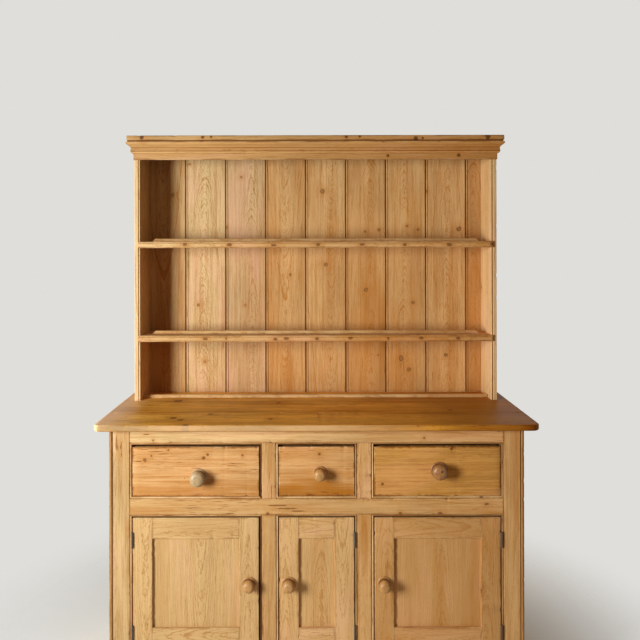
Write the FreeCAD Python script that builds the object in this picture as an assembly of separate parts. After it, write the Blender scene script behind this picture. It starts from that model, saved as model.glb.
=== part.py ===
import FreeCAD, Part
import math
import os

from FreeCAD import Vector

# A pine kitchen dresser: an open plate rack standing on a base with a worktop,
# three drawers in a row and three panelled doors below them.
# Lengths are millimetres. +X is the right hand side, -Y is the front, +Z is up.

# Worktop
worktop_width = 1412.0
worktop_depth = 500.0
worktop_thickness = 20.0
worktop_height = 860.0
worktop_corner_radius = 19.0
worktop_edge_radius = 4.0
worktop_board_count = 3

# Base carcass
side_overhang = 44.0
base_side_thickness = 20.0
front_overhang = 28.0
back_board_thickness = 12.0
back_rebate_width = 10.0
base_back_board_count = 9
base_back_floor_gap = 15.0
bottom_board_thickness = 16.0
housing_depth = 6.0
cupboard_shelf_thickness = 16.0
cupboard_shelf_setback = 25.0
cupboard_shelf_top = 340.0
cupboard_shelf_clearance = 0.5
bearer_size = 20.0
back_rail_thickness = 20.0
lower_back_rail_height = 45.0

# Face frame
frame_thickness = 22.0
stile_width = 74.0
muntin_width = 60.0
centre_opening_width = 244.0
top_rail_height = 50.0
drawer_opening_height = 164.0
middle_rail_height = 65.0
bottom_rail_height = 65.0
bottom_rail_top = 120.0
tenon_length = 24.0
tenon_thickness = 8.0
tenon_shoulder = 6.0
muntin_tenon_length = 16.0

# Quirk lines that set off the small beads worked on the edges
corner_bead_width = 10.0
corner_quirk_width = 2.5
opening_bead_width = 6.0
opening_quirk_width = 1.5
quirk_depth = 3.0

# Plinth
plinth_height = 90.0
plinth_thickness = 15.0
plinth_chamfer = 6.0

# Drawers
drawer_side_gap = 1.5
drawer_recess = 1.5
drawer_front_height = 157.0
drawer_front_thickness = 20.0
drawer_side_thickness = 12.0
drawer_side_drop = 4.0
drawer_back_thickness = 12.0
drawer_back_inset = 10.0
drawer_back_drop = 10.0
drawer_bottom_thickness = 8.0
drawer_bottom_raise = 10.0
drawer_groove_depth = 6.0
drawer_running_gap = 0.5
tail_count = 3
tail_length = 14.0
tail_root_share = 0.50
tail_tip_share = 0.68

# Runners, kickers and stops
runner_thickness = 20.0
runner_ledge = 24.0
guide_height = 20.0
stop_play = 0.5
drawer_stop_height = 30.0
drawer_stop_thickness = 8.0
door_stop_width = 30.0
door_stop_height = 30.0
door_stop_drop = 10.0
door_stop_thickness = 6.0

# Doors
door_gap = 2.5
door_thickness = 21.5
door_stile_width = 62.0
door_top_rail_height = 66.0
door_bottom_rail_height = 86.0
door_tenon_length = 40.0
door_panel_thickness = 8.0
door_panel_setback = 8.0
door_groove_depth = 8.0
door_knob_height_share = 0.52

# Butt hinges
hinge_height = 50.0
hinge_leaf_width = 18.0
hinge_leaf_thickness = 1.1
hinge_knuckle_radius = 3.0
hinge_pin_radius = 1.5
hinge_pin_clearance = 0.05
hinge_play = 0.3
hinge_end_distance = 70.0
knuckle_count = 3

# Turned knobs
knob_hole_clearance = 0.2
knob_spigot_radius = 7.0
large_knob = {
    "flange_radius": 27.0,
    "flange_thickness": 5.0,
    "neck_radius": 19.0,
    "neck_width": 5.0,
    "bulb_radius": 25.0,
    "reach": 38.0,
}
small_knob = {
    "flange_radius": 23.0,
    "flange_thickness": 4.0,
    "neck_radius": 14.0,
    "neck_width": 5.0,
    "bulb_radius": 19.5,
    "reach": 35.0,
}
bulb_widest_share = 0.42
bulb_face_radius_share = 0.62
bulb_face_reach_share = 0.88

# Where each drawer's knob sits, as shares of the drawer opening's width and front's height
drawer_knob_shares = {
    "left": (0.524, 0.397),
    "centre": (0.545, 0.471),
    "right": (0.512, 0.525),
}

# Plate rack
rack_set_in = 41.0
rack_depth = 152.0
rack_height = 968.0
rack_side_thickness = 22.0
rack_bead_width = 6.0
rack_quirk_width = 2.0
shelf_thickness = 20.0
lower_shelf_top = 239.0
upper_shelf_top = 583.0
nosing_height = 23.5
nosing_thickness = 9.0
nosing_flat = 3.0
nosing_lap = 8.5
nosing_end_radius = 7.0
plate_rail_height = 12.0
plate_rail_thickness = 11.0
plate_rail_round = 5.0
plate_rail_setback = 42.0
shelf_rail_end_gap = 33.0
worktop_rail_end_gap = 2.0

# Tongue and groove boards of the rack's back
first_board_width = 139.5
last_board_width = 59.8
rack_board_count = 9
board_joint_gap = 2.0
tongue_length = 6.0
tongue_thickness = 4.0
tongue_play = 0.4

# Cornice, from the fascia's lower edge upwards
fascia_thickness = 10.0
fascia_band_height = 21.0
ovolo_height = 9.5
ovolo_reach = 8.7
ovolo_rise = 2.2
step_height = 10.8
step_reach = 7.3
cyma_height = 16.0
cyma_reach = 22.0
cyma_swell = 1.6
fillet_height = 5.7
cap_neck_height = 6.8
cap_neck_reach = 17.5
cap_lip_height = 16.2
cap_lip_reach = 20.7


# Planes and edges worked out from the sizes above
foremost_knob_reach = max(large_knob["reach"] - drawer_recess, small_knob["reach"])
knob_past_worktop = max(foremost_knob_reach - front_overhang, 0)
total_depth = worktop_depth + knob_past_worktop
back_y = total_depth / 2
worktop_front_y = back_y - worktop_depth
frame_front_y = worktop_front_y + front_overhang
frame_back_y = frame_front_y + frame_thickness
back_boards_y = back_y - back_board_thickness
back_rail_y = back_boards_y - back_rail_thickness
rack_front_y = back_y - rack_depth
drawer_front_y = frame_front_y + drawer_recess
drawer_end_y = back_rail_y - drawer_stop_thickness - stop_play

worktop_under_z = worktop_height - worktop_thickness
drawer_opening_top = worktop_under_z - top_rail_height
drawer_opening_bottom = drawer_opening_top - drawer_opening_height
door_opening_top = drawer_opening_bottom - middle_rail_height
door_opening_bottom = bottom_rail_top
rack_top_z = worktop_height + rack_height

half_worktop = worktop_width / 2
half_base = half_worktop - side_overhang
base_inner_x = half_base - base_side_thickness
half_rack = half_worktop - rack_set_in
rack_inner_x = half_rack - rack_side_thickness
stile_inner_x = half_base - stile_width
centre_half = centre_opening_width / 2
muntin_outer_x = centre_half + muntin_width

openings = {
    "left": (-stile_inner_x, -muntin_outer_x),
    "centre": (-centre_half, centre_half),
    "right": (muntin_outer_x, stile_inner_x),
}
muntin_edges = [(-muntin_outer_x, -centre_half), (centre_half, muntin_outer_x)]
# Each door's hinged edge: -1 is its left edge, 1 its right edge
hinge_sides = {"left": -1, "centre": 1, "right": 1}


def block(x0, x1, y0, y1, z0, z1):
    return Part.makeBox(x1 - x0, y1 - y0, z1 - z0, Vector(x0, y0, z0))


def mirrored(shape):
    return shape.mirror(Vector(0, 0, 0), Vector(1, 0, 0))


def outline(start, moves, place):
    # A closed face: each move is a line to a point or an arc through a point to a point
    edges = []
    at = start
    for move in moves:
        if len(move) == 1:
            edges.append(Part.makeLine(place(*at), place(*move[0])))
        else:
            edges.append(Part.Arc(place(*at), place(*move[0]), place(*move[1])).toShape())
        at = move[-1]
    edges.append(Part.makeLine(place(*at), place(*start)))
    return Part.Face(Part.Wire(edges))


def plan_prism(points, z0, z1):
    corners = [Vector(x, y, z0) for x, y in points]
    face = Part.Face(Part.makePolygon(corners + corners[:1]))
    return face.extrude(Vector(0, 0, z1 - z0))


def wrapped_run(start, moves, reach, half_width, front_y, z0, z1):
    # A moulding round the front and both sides of a box, mitred at its two front corners
    far_x = half_width + reach
    near_y = front_y - reach
    front_face = outline(start, moves, lambda p, z: Vector(-far_x, front_y - p, z))
    front = front_face.extrude(Vector(2 * far_x, 0, 0))
    front_plan = [(-half_width, front_y), (half_width, front_y), (far_x, near_y), (-far_x, near_y)]
    front = front.common(plan_prism(front_plan, z0, z1))
    side_face = outline(start, moves, lambda p, z: Vector(half_width + p, near_y, z))
    side = side_face.extrude(Vector(0, back_y - near_y, 0))
    side_plan = [(half_width, front_y), (far_x, near_y), (far_x, back_y), (half_width, back_y)]
    side = side.common(plan_prism(side_plan, z0, z1))
    return [front, mirrored(side), side]


def worktop_boards():
    slab = block(-half_worktop, half_worktop, worktop_front_y, back_y,
                 worktop_under_z, worktop_height)

    def all_at(edge, test):
        return all(test(vertex.Point) for vertex in edge.Vertexes)

    near = worktop_edge_radius / 2
    corners = [e for e in slab.Edges
               if all_at(e, lambda p: p.y < worktop_front_y + near)
               and abs(e.Vertexes[0].Z - e.Vertexes[1].Z) > near]
    slab = slab.makeFillet(worktop_corner_radius, corners)
    rims = [e for e in slab.Edges
            if abs(e.Vertexes[0].Z - e.Vertexes[-1].Z) < near
            and not all_at(e, lambda p: p.y > back_y - near)]
    slab = slab.makeFillet(worktop_edge_radius, rims)
    pitch = worktop_depth / worktop_board_count
    boards = []
    for i in range(worktop_board_count):
        y0 = worktop_front_y + i * pitch
        strip = block(-half_worktop, half_worktop, y0, y0 + pitch,
                      worktop_under_z, worktop_height)
        boards.append(slab.common(strip))
    return boards


def tongued_boards(edges, y0, y1, z0, z1):
    # Upright boards between the given edges, each with a tongue that enters the next one
    middle = (y0 + y1) / 2
    half_tongue = tongue_thickness / 2
    half_groove = half_tongue + tongue_play
    boards = []
    last = len(edges) - 2
    for i in range(last + 1):
        left = edges[i] + (board_joint_gap / 2 if i > 0 else 0)
        right = edges[i + 1] - (board_joint_gap / 2 if i < last else 0)
        board = block(left, right, y0, y1, z0, z1)
        if i < last:
            tip = right + tongue_length
            tongue = block(right, tip, middle - half_tongue, middle + half_tongue, z0, z1)
            board = board.fuse(tongue).removeSplitter()
        if i > 0:
            root = left + tongue_length - board_joint_gap + tongue_play
            board = board.cut(block(left, root, middle - half_groove, middle + half_groove, z0, z1))
        boards.append(board)
    return boards


def rack_back_boards():
    outer = rack_inner_x + back_rebate_width
    first = first_board_width - rack_inner_x
    last = rack_inner_x - last_board_width
    pitch = (last - first) / (rack_board_count - 2)
    joints = [first + i * pitch for i in range(rack_board_count - 1)]
    top = rack_top_z - cap_neck_height - cap_lip_height
    return tongued_boards([-outer] + joints + [outer], back_boards_y, back_y, worktop_height, top)


def base_back_boards():
    outer = base_inner_x + back_rebate_width
    pitch = 2 * outer / base_back_board_count
    edges = [-outer + i * pitch for i in range(base_back_board_count + 1)]
    return tongued_boards(edges, back_boards_y, back_y, base_back_floor_gap, worktop_under_z)


def shelf(top):
    half = rack_inner_x + housing_depth
    z = worktop_height + top
    return block(-half, half, rack_front_y, back_boards_y, z - shelf_thickness, z)


def shelf_nosing(top):
    z1 = worktop_height + top
    z0 = z1 - nosing_height
    half = rack_inner_x + nosing_lap
    flat_y = rack_front_y - nosing_flat
    tip_y = rack_front_y - nosing_thickness
    moves = [
        ((flat_y, z0),),
        ((tip_y, (z0 + z1) / 2), (flat_y, z1)),
        ((rack_front_y, z1),),
    ]
    face = outline((rack_front_y, z0), moves, lambda y, z: Vector(-half, y, z))
    strip = face.extrude(Vector(2 * half, 0, 0))
    bend_y = tip_y + nosing_end_radius
    bend = nosing_end_radius * (1 - math.sqrt(0.5))
    plan = [
        ((-half, bend_y),),
        ((-half + bend, tip_y + bend), (-half + nosing_end_radius, tip_y)),
        ((half - nosing_end_radius, tip_y),),
        ((half - bend, tip_y + bend), (half, bend_y)),
        ((half, rack_front_y),),
    ]
    ends = outline((-half, rack_front_y), plan, lambda x, y: Vector(x, y, z0))
    return strip.common(ends.extrude(Vector(0, 0, z1 - z0)))


def plate_rail(half_length, base_z, bevel):
    # A low rail with a rounded front edge that stops plates sliding forwards
    y0 = rack_front_y + plate_rail_setback
    y1 = y0 + plate_rail_thickness
    z1 = base_z + plate_rail_height
    bend = plate_rail_round * (1 - math.sqrt(0.5))
    moves = [
        ((y0, z1 - plate_rail_round),),
        ((y0 + bend, z1 - bend), (y0 + plate_rail_round, z1)),
        ((y1, z1),),
        ((y1, base_z),),
    ]
    face = outline((y0, base_z), moves, lambda y, z: Vector(-half_length, y, z))
    rail = face.extrude(Vector(2 * half_length, 0, 0))
    if bevel > 0:
        side = [
            ((half_length, base_z),),
            ((half_length - bevel, z1),),
            ((-half_length + bevel, z1),),
        ]
        front = outline((-half_length, base_z), side, lambda x, z: Vector(x, y0, z))
        rail = rail.common(front.extrude(Vector(0, plate_rail_thickness, 0)))
    return rail


def rack_side():
    # The right hand side, housed for the shelves and rebated for the back boards
    top = rack_top_z - cap_neck_height - cap_lip_height
    side = block(rack_inner_x, half_rack, rack_front_y, back_y, worktop_height, top)
    side = side.cut(block(rack_inner_x, rack_inner_x + back_rebate_width,
                          back_boards_y, back_y, worktop_height, top))
    quirk_x = rack_inner_x + rack_bead_width
    side = side.cut(block(quirk_x, quirk_x + rack_quirk_width,
                          rack_front_y, rack_front_y + quirk_depth, worktop_height, top))
    for height in (lower_shelf_top, upper_shelf_top):
        side = side.cut(shelf(height))
    return side


def cornice_fascia():
    z0 = cornice_bottom_z
    z1 = rack_top_z - cap_neck_height - cap_lip_height
    return block(-half_rack, half_rack, fascia_front_y, rack_front_y, z0, z1)


def cornice_moulding():
    z0 = cornice_bottom_z + fascia_band_height
    z1 = z0 + ovolo_height
    z2 = z1 + step_height
    z3 = z2 + cyma_height
    z4 = z3 + fillet_height
    cyma_middle_p = (step_reach + cyma_reach) / 2
    cyma_middle_z = (z2 + z3) / 2
    lower_p = (step_reach + cyma_middle_p) / 2 - cyma_swell
    upper_p = (cyma_middle_p + cyma_reach) / 2 + cyma_swell
    moves = [
        ((ovolo_reach / 2 + ovolo_rise, (z0 + z1) / 2 - ovolo_rise), (ovolo_reach, z1)),
        ((step_reach, z2),),
        ((lower_p, (z2 + cyma_middle_z) / 2 + cyma_swell), (cyma_middle_p, cyma_middle_z)),
        ((upper_p, (cyma_middle_z + z3) / 2 - cyma_swell), (cyma_reach, z3)),
        ((cyma_reach, z4),),
        ((0, z4),),
    ]
    return wrapped_run((0, z0), moves, cyma_reach, half_rack, fascia_front_y, z0, z4)


def cornice_cap():
    z0 = rack_top_z - cap_neck_height - cap_lip_height
    z1 = z0 + cap_neck_height
    neck_half = half_rack + cap_neck_reach
    lip_half = half_rack + cap_lip_reach
    neck = block(-neck_half, neck_half, fascia_front_y - cap_neck_reach, back_y, z0, z1)
    lip = block(-lip_half, lip_half, fascia_front_y - cap_lip_reach, back_y, z1, rack_top_z)
    return neck.fuse(lip).removeSplitter()


def quirk_ring(x0, x1, z0, z1):
    # The groove that runs round an opening and leaves a bead along its edge
    near = opening_bead_width
    far = opening_bead_width + opening_quirk_width
    y1 = frame_front_y + quirk_depth
    outer = block(x0 - far, x1 + far, frame_front_y, y1, z0 - far, z1 + far)
    inner = block(x0 - near, x1 + near, frame_front_y, y1, z0 - near, z1 + near)
    return outer.cut(inner)


def frame_quirks():
    rings = []
    for x0, x1 in openings.values():
        rings.append(quirk_ring(x0, x1, drawer_opening_bottom, drawer_opening_top))
        rings.append(quirk_ring(x0, x1, door_opening_bottom, door_opening_top))
    return rings


def frame_rail(z0, z1):
    rail = block(-stile_inner_x, stile_inner_x, frame_front_y, frame_back_y, z0, z1)
    tenon_y = (frame_front_y + frame_back_y - tenon_thickness) / 2
    reach = stile_inner_x + tenon_length
    tenon = block(-reach, reach, tenon_y, tenon_y + tenon_thickness,
                  z0 + tenon_shoulder, z1 - tenon_shoulder)
    return rail.fuse(tenon).removeSplitter()


def frame_muntin(x0, x1, z0, z1):
    muntin = block(x0, x1, frame_front_y, frame_back_y, z0, z1)
    tenon_y = (frame_front_y + frame_back_y - tenon_thickness) / 2
    tenon = block(x0 + tenon_shoulder, x1 - tenon_shoulder, tenon_y, tenon_y + tenon_thickness,
                  z0 - muntin_tenon_length, z1 + muntin_tenon_length)
    return muntin.fuse(tenon).removeSplitter()


def face_frame():
    rails = {
        "top_rail": frame_rail(drawer_opening_top, worktop_under_z),
        "middle_rail": frame_rail(door_opening_top, drawer_opening_bottom),
        "bottom_rail": frame_rail(bottom_rail_top - bottom_rail_height, bottom_rail_top),
    }
    upper = [frame_muntin(x0, x1, drawer_opening_bottom, drawer_opening_top)
             for x0, x1 in muntin_edges]
    lower = [frame_muntin(x0, x1, door_opening_bottom, door_opening_top)
             for x0, x1 in muntin_edges]
    stile = block(stile_inner_x, half_base, frame_front_y, frame_back_y, 0, worktop_under_z)
    quirk_x = half_base - corner_bead_width
    stile = stile.cut(block(quirk_x - corner_quirk_width, quirk_x, frame_front_y,
                            frame_front_y + quirk_depth, 0, worktop_under_z))
    for rail in rails.values():
        stile = stile.cut(rail)
    for name, rail in rails.items():
        for muntin in upper + lower:
            rail = rail.cut(muntin)
        rails[name] = rail
    quirks = frame_quirks()
    pieces = {
        "frame_stile_left": [mirrored(stile)],
        "frame_stile_right": [stile],
        "frame_muntins": upper + lower,
    }
    for name, rail in rails.items():
        pieces[name] = [rail]
    for name, solids in pieces.items():
        pieces[name] = [solid.cut(quirks) for solid in solids]
    return pieces


def base_side():
    side = block(base_inner_x, half_base, frame_back_y, back_y, 0, worktop_under_z)
    side = side.cut(block(base_inner_x, base_inner_x + back_rebate_width,
                          back_boards_y, back_y, base_back_floor_gap, worktop_under_z))
    return side.cut(bottom_board())


def bottom_board():
    half = base_inner_x + housing_depth
    return block(-half, half, frame_back_y, back_boards_y,
                 bottom_rail_top - bottom_board_thickness, bottom_rail_top)


def cupboard_shelf():
    half = base_inner_x - cupboard_shelf_clearance
    return block(-half, half, frame_back_y + cupboard_shelf_setback, back_boards_y,
                 cupboard_shelf_top - cupboard_shelf_thickness, cupboard_shelf_top)


def shelf_bearers():
    z1 = cupboard_shelf_top - cupboard_shelf_thickness
    z0 = z1 - bearer_size
    side = block(base_inner_x - bearer_size, base_inner_x,
                 frame_back_y + cupboard_shelf_setback, back_boards_y, z0, z1)
    half = base_inner_x - bearer_size
    back = block(-half, half, back_boards_y - bearer_size, back_boards_y, z0, z1)
    return [mirrored(side), side, back]


def back_rails():
    upper = block(-base_inner_x, base_inner_x, back_rail_y, back_boards_y,
                  drawer_opening_top, worktop_under_z)
    lower = block(-base_inner_x, base_inner_x, back_rail_y, back_boards_y,
                  drawer_opening_bottom - lower_back_rail_height, drawer_opening_bottom)
    return [upper, lower]


def drawer_walls():
    # What lies between or beside the drawers, and how far each ledge reaches past it
    walls = [(-base_inner_x, -stile_inner_x, 0, runner_ledge)]
    for x0, x1 in muntin_edges:
        walls.append((x0, x1, runner_ledge, runner_ledge))
    walls.append((stile_inner_x, base_inner_x, runner_ledge, 0))
    return walls


def drawer_runners():
    top = drawer_opening_bottom
    runners = []
    for x0, x1, left, right in drawer_walls():
        ledge = block(x0 - left, x1 + right, frame_back_y, back_rail_y, top - runner_thickness, top)
        guide = block(x0, x1, frame_back_y, back_rail_y, top, top + guide_height)
        runners.append(ledge.fuse(guide).removeSplitter())
    return runners


def drawer_kickers():
    return [block(x0 - left, x1 + right, frame_back_y, back_rail_y,
                  drawer_opening_top, worktop_under_z)
            for x0, x1, left, right in drawer_walls()]


def stop_blocks():
    blocks = []
    z0 = drawer_opening_bottom
    for x0, x1, left, right in drawer_walls():
        for near, far in ((x0 - left, x0), (x1, x1 + right)):
            if far > near:
                blocks.append(block(near, far, back_rail_y - drawer_stop_thickness, back_rail_y,
                                    z0, z0 + drawer_stop_height))
    for name, (x0, x1) in openings.items():
        free_x = x0 + door_stile_width if hinge_sides[name] > 0 else x1 - door_stile_width
        z0 = door_opening_top - door_stop_drop
        blocks.append(block(free_x - door_stop_width / 2, free_x + door_stop_width / 2,
                            frame_back_y, frame_back_y + door_stop_thickness,
                            z0, z0 + door_stop_height))
    return blocks


def plinth():
    cut = plinth_height - plinth_chamfer
    moves = [
        ((plinth_thickness, 0),),
        ((plinth_thickness, cut),),
        ((plinth_thickness - plinth_chamfer, plinth_height),),
        ((0, plinth_height),),
    ]
    return wrapped_run((0, 0), moves, plinth_thickness, half_base, frame_front_y, 0, plinth_height)


def knob(sizes, x, face_y, z, spigot):
    # A turned knob: spigot, flange, hollow neck and a flattened bulb, pointing to the front
    neck = sizes["neck_radius"]
    curl = sizes["neck_width"] / 2
    flange = sizes["flange_thickness"]
    bulb_base = flange + sizes["neck_width"]
    bulb = sizes["bulb_radius"]
    reach = sizes["reach"]
    widest = bulb_base + bulb_widest_share * (reach - bulb_base)
    face_reach = bulb_base + bulb_face_reach_share * (reach - bulb_base)
    face_radius = bulb_face_radius_share * bulb
    # The end of the bulb is a cap of a sphere that is centred on the knob's axis
    rise = reach - face_reach
    dome_radius = (face_radius ** 2 + rise ** 2) / (2 * rise)
    half_turn = math.asin(face_radius / dome_radius) / 2
    dome_at = (dome_radius * math.sin(half_turn), reach - dome_radius * (1 - math.cos(half_turn)))
    moves = [
        ((knob_spigot_radius, -spigot),),
        ((knob_spigot_radius, 0),),
        ((sizes["flange_radius"], 0),),
        ((sizes["flange_radius"], flange),),
        ((neck + curl, flange),),
        ((neck, flange + curl), (neck + curl, bulb_base)),
        ((bulb, widest), (face_radius, face_reach)),
        (dome_at, (0, reach)),
    ]
    face = outline((0, -spigot), moves, lambda r, s: Vector(r, -s, 0))
    turned = face.revolve(Vector(0, 0, 0), Vector(0, 1, 0), 360)
    turned.translate(Vector(x, face_y, z))
    return turned


def knob_hole(x, face_y, z, depth):
    radius = knob_spigot_radius + knob_hole_clearance
    return Part.makeCylinder(radius, depth, Vector(x, face_y, z), Vector(0, 1, 0))


def drawer_side(x0, y_root, y_end, z0, z1):
    # A drawer side with dovetails that enter the back of the drawer front
    side = block(x0, x0 + drawer_side_thickness, y_root, y_end, z0, z1)
    pitch = (z1 - z0) / tail_count
    for i in range(tail_count):
        middle = z0 + (i + 0.5) * pitch
        root = tail_root_share * pitch / 2
        tip = tail_tip_share * pitch / 2
        tip_y = y_root - tail_length
        moves = [
            ((y_root, middle + root),),
            ((tip_y, middle + tip),),
            ((tip_y, middle - tip),),
        ]
        face = outline((y_root, middle - root), moves, lambda y, z: Vector(x0, y, z))
        side = side.fuse(face.extrude(Vector(drawer_side_thickness, 0, 0)))
    return side.removeSplitter()


def drawer(name):
    x0 = openings[name][0] + drawer_side_gap
    x1 = openings[name][1] - drawer_side_gap
    z0 = drawer_opening_bottom + drawer_running_gap
    z1 = z0 + drawer_front_height
    side_top = z1 - drawer_side_drop
    face_y = drawer_front_y
    root_y = face_y + drawer_front_thickness
    end_y = drawer_end_y
    front = block(x0, x1, face_y, root_y, z0, z1)
    inner0 = x0 + drawer_side_thickness
    inner1 = x1 - drawer_side_thickness
    bottom_z = z0 + drawer_bottom_raise
    bottom_top = bottom_z + drawer_bottom_thickness
    bottom = block(inner0 - drawer_groove_depth, inner1 + drawer_groove_depth,
                   root_y - drawer_groove_depth, end_y, bottom_z, bottom_top)
    back_y1 = end_y - drawer_back_inset
    back = block(inner0 - drawer_groove_depth, inner1 + drawer_groove_depth,
                 back_y1 - drawer_back_thickness, back_y1, bottom_top, side_top - drawer_back_drop)
    sides = [drawer_side(x, root_y, end_y, z0, side_top) for x in (x0, inner1)]
    front = front.cut(sides).cut(bottom)
    sides = [side.cut([bottom, back]) for side in sides]
    share_x, share_z = drawer_knob_shares[name]
    knob_x = openings[name][0] + share_x * (openings[name][1] - openings[name][0])
    knob_z = z0 + share_z * drawer_front_height
    sizes = small_knob if name == "centre" else large_knob
    front = front.cut(knob_hole(knob_x, face_y, knob_z, drawer_front_thickness))
    return {
        f"drawer_{name}_front": [front],
        f"drawer_{name}_box": sides + [back],
        f"drawer_{name}_bottom": [bottom],
        f"drawer_{name}_knob": [knob(sizes, knob_x, face_y, knob_z, drawer_front_thickness)],
    }


def hinge_leaf(axis_x, side, owner, z0):
    # One leaf of a butt hinge: its plate lies in the gap, its knuckles ring the pin
    plate0 = axis_x + side * hinge_play / 2
    plate1 = plate0 + side * hinge_leaf_thickness
    x0, x1 = min(plate0, plate1), max(plate0, plate1)
    clear_y = hinge_axis_y + hinge_knuckle_radius + hinge_play
    leaf = block(x0, x1, clear_y, clear_y + hinge_leaf_width, z0, z0 + hinge_height)
    pitch = hinge_height / knuckle_count
    for i in range(knuckle_count):
        if i % 2 == owner:
            low = z0 + i * pitch + (hinge_play / 2 if i > 0 else 0)
            high = z0 + (i + 1) * pitch - (hinge_play / 2 if i < knuckle_count - 1 else 0)
            barrel = Part.makeCylinder(hinge_knuckle_radius, high - low,
                                       Vector(axis_x, hinge_axis_y, low))
            web = block(x0, x1, hinge_axis_y, clear_y, low, high)
            leaf = leaf.fuse(barrel.fuse(web))
    bore = Part.makeCylinder(hinge_pin_radius + hinge_pin_clearance, hinge_height,
                             Vector(axis_x, hinge_axis_y, z0))
    return leaf.removeSplitter().cut(bore)


def hinge_places(name):
    side = hinge_sides[name]
    x0, x1 = openings[name]
    axis_x = (x1 if side > 0 else x0) - side * door_gap / 2
    low = door_opening_bottom + door_gap + hinge_end_distance - hinge_height / 2
    high = door_opening_top - door_gap - hinge_end_distance - hinge_height / 2
    return axis_x, side, (low, high)


def hinge_pin(axis_x, z0):
    return Part.makeCylinder(hinge_pin_radius, hinge_height, Vector(axis_x, hinge_axis_y, z0))


def door(name):
    side = hinge_sides[name]
    x0 = openings[name][0] + door_gap
    x1 = openings[name][1] - door_gap
    z0 = door_opening_bottom + door_gap
    z1 = door_opening_top - door_gap
    y0 = frame_front_y
    y1 = y0 + door_thickness
    inner0 = x0 + door_stile_width
    inner1 = x1 - door_stile_width
    panel_low = z0 + door_bottom_rail_height
    panel_high = z1 - door_top_rail_height
    panel_y = y0 + door_panel_setback
    panel = block(inner0 - door_groove_depth, inner1 + door_groove_depth,
                  panel_y, panel_y + door_panel_thickness,
                  panel_low - door_groove_depth, panel_high + door_groove_depth)
    tenon_y = (y0 + y1 - tenon_thickness) / 2
    rails = []
    for low, high in ((z0, panel_low), (panel_high, z1)):
        rail = block(inner0, inner1, y0, y1, low, high)
        tenon = block(inner0 - door_tenon_length, inner1 + door_tenon_length,
                      tenon_y, tenon_y + tenon_thickness,
                      low + tenon_shoulder, high - tenon_shoulder)
        rails.append(rail.fuse(tenon).removeSplitter().cut(panel))
    stiles = [block(x0, inner0, y0, y1, z0, z1), block(inner1, x1, y0, y1, z0, z1)]
    stiles = [stile.cut(rails + [panel]) for stile in stiles]
    knob_x = x1 - door_stile_width / 2 if side < 0 else x0 + door_stile_width / 2
    knob_z = z0 + door_knob_height_share * (z1 - z0)
    free = 1 if side < 0 else 0
    stiles[free] = stiles[free].cut(knob_hole(knob_x, y0, knob_z, door_thickness))
    axis_x, side, heights = hinge_places(name)
    leaves = [hinge_leaf(axis_x, -side, 1, z) for z in heights]
    return {
        f"door_{name}_stiles": stiles,
        f"door_{name}_rails": rails,
        f"door_{name}_panel": [panel],
        f"door_{name}_knob": [knob(small_knob, knob_x, y0, knob_z, door_thickness)],
        f"door_{name}_hinge_leaves": leaves,
    }


fascia_front_y = rack_front_y - fascia_thickness
cornice_bottom_z = (rack_top_z - cap_lip_height - cap_neck_height - fillet_height
                    - cyma_height - step_height - ovolo_height - fascia_band_height)
hinge_axis_y = frame_front_y - hinge_knuckle_radius - hinge_play


def all_parts():
    side = rack_side()
    carcass_side = base_side()
    shelf_rail_half = rack_inner_x - shelf_rail_end_gap
    shelf_rail_heights = [worktop_height + top for top in (lower_shelf_top, upper_shelf_top)]
    parts = {
        "rack_side_left": [mirrored(side)],
        "rack_side_right": [side],
        "cornice_cap": [cornice_cap()],
        "cornice_fascia": [cornice_fascia()],
        "cornice_moulding": cornice_moulding(),
        "upper_shelf": [shelf(upper_shelf_top)],
        "lower_shelf": [shelf(lower_shelf_top)],
        "upper_shelf_nosing": [shelf_nosing(upper_shelf_top)],
        "lower_shelf_nosing": [shelf_nosing(lower_shelf_top)],
        "shelf_plate_rails": [plate_rail(shelf_rail_half, z, plate_rail_height)
                              for z in shelf_rail_heights],
        "worktop_plate_rail": [plate_rail(rack_inner_x - worktop_rail_end_gap, worktop_height, 0)],
        "rack_back_boards": rack_back_boards(),
        "worktop": worktop_boards(),
        "base_side_left": [mirrored(carcass_side)],
        "base_side_right": [carcass_side],
        "bottom_board": [bottom_board()],
        "cupboard_shelf": [cupboard_shelf()],
        "shelf_bearers": shelf_bearers(),
        "back_rails": back_rails(),
        "drawer_runners": drawer_runners(),
        "drawer_kickers": drawer_kickers(),
        "stop_blocks": stop_blocks(),
        "base_back_boards": base_back_boards(),
    }
    parts.update(face_frame())
    front, left, right = plinth()
    parts["plinth_front"] = [front]
    parts["plinth_returns"] = [left, right]
    frame_leaves = []
    pins = []
    for name in openings:
        parts.update(drawer(name))
        parts.update(door(name))
        axis_x, hinge_side, heights = hinge_places(name)
        for z in heights:
            frame_leaves.append(hinge_leaf(axis_x, hinge_side, 0, z))
            pins.append(hinge_pin(axis_x, z))
    parts["frame_hinge_leaves"] = frame_leaves
    parts["hinge_pins"] = pins
    return parts


os.makedirs("parts", exist_ok=True)
for name, solids in all_parts().items():
    shape = solids[0] if len(solids) == 1 else Part.makeCompound(solids)
    shape.exportStep(f"parts/{name}.step")
    box = shape.BoundBox
    print(name, len(solids), "valid", shape.isValid(), "volume", round(shape.Volume),
          "x", round(box.XMin, 1), round(box.XMax, 1), "y", round(box.YMin, 1), round(box.YMax, 1),
          "z", round(box.ZMin, 1), round(box.ZMax, 1))
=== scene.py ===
import math
from functools import partial
from random import Random

import bmesh
import bpy
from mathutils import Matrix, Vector, noise

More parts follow.
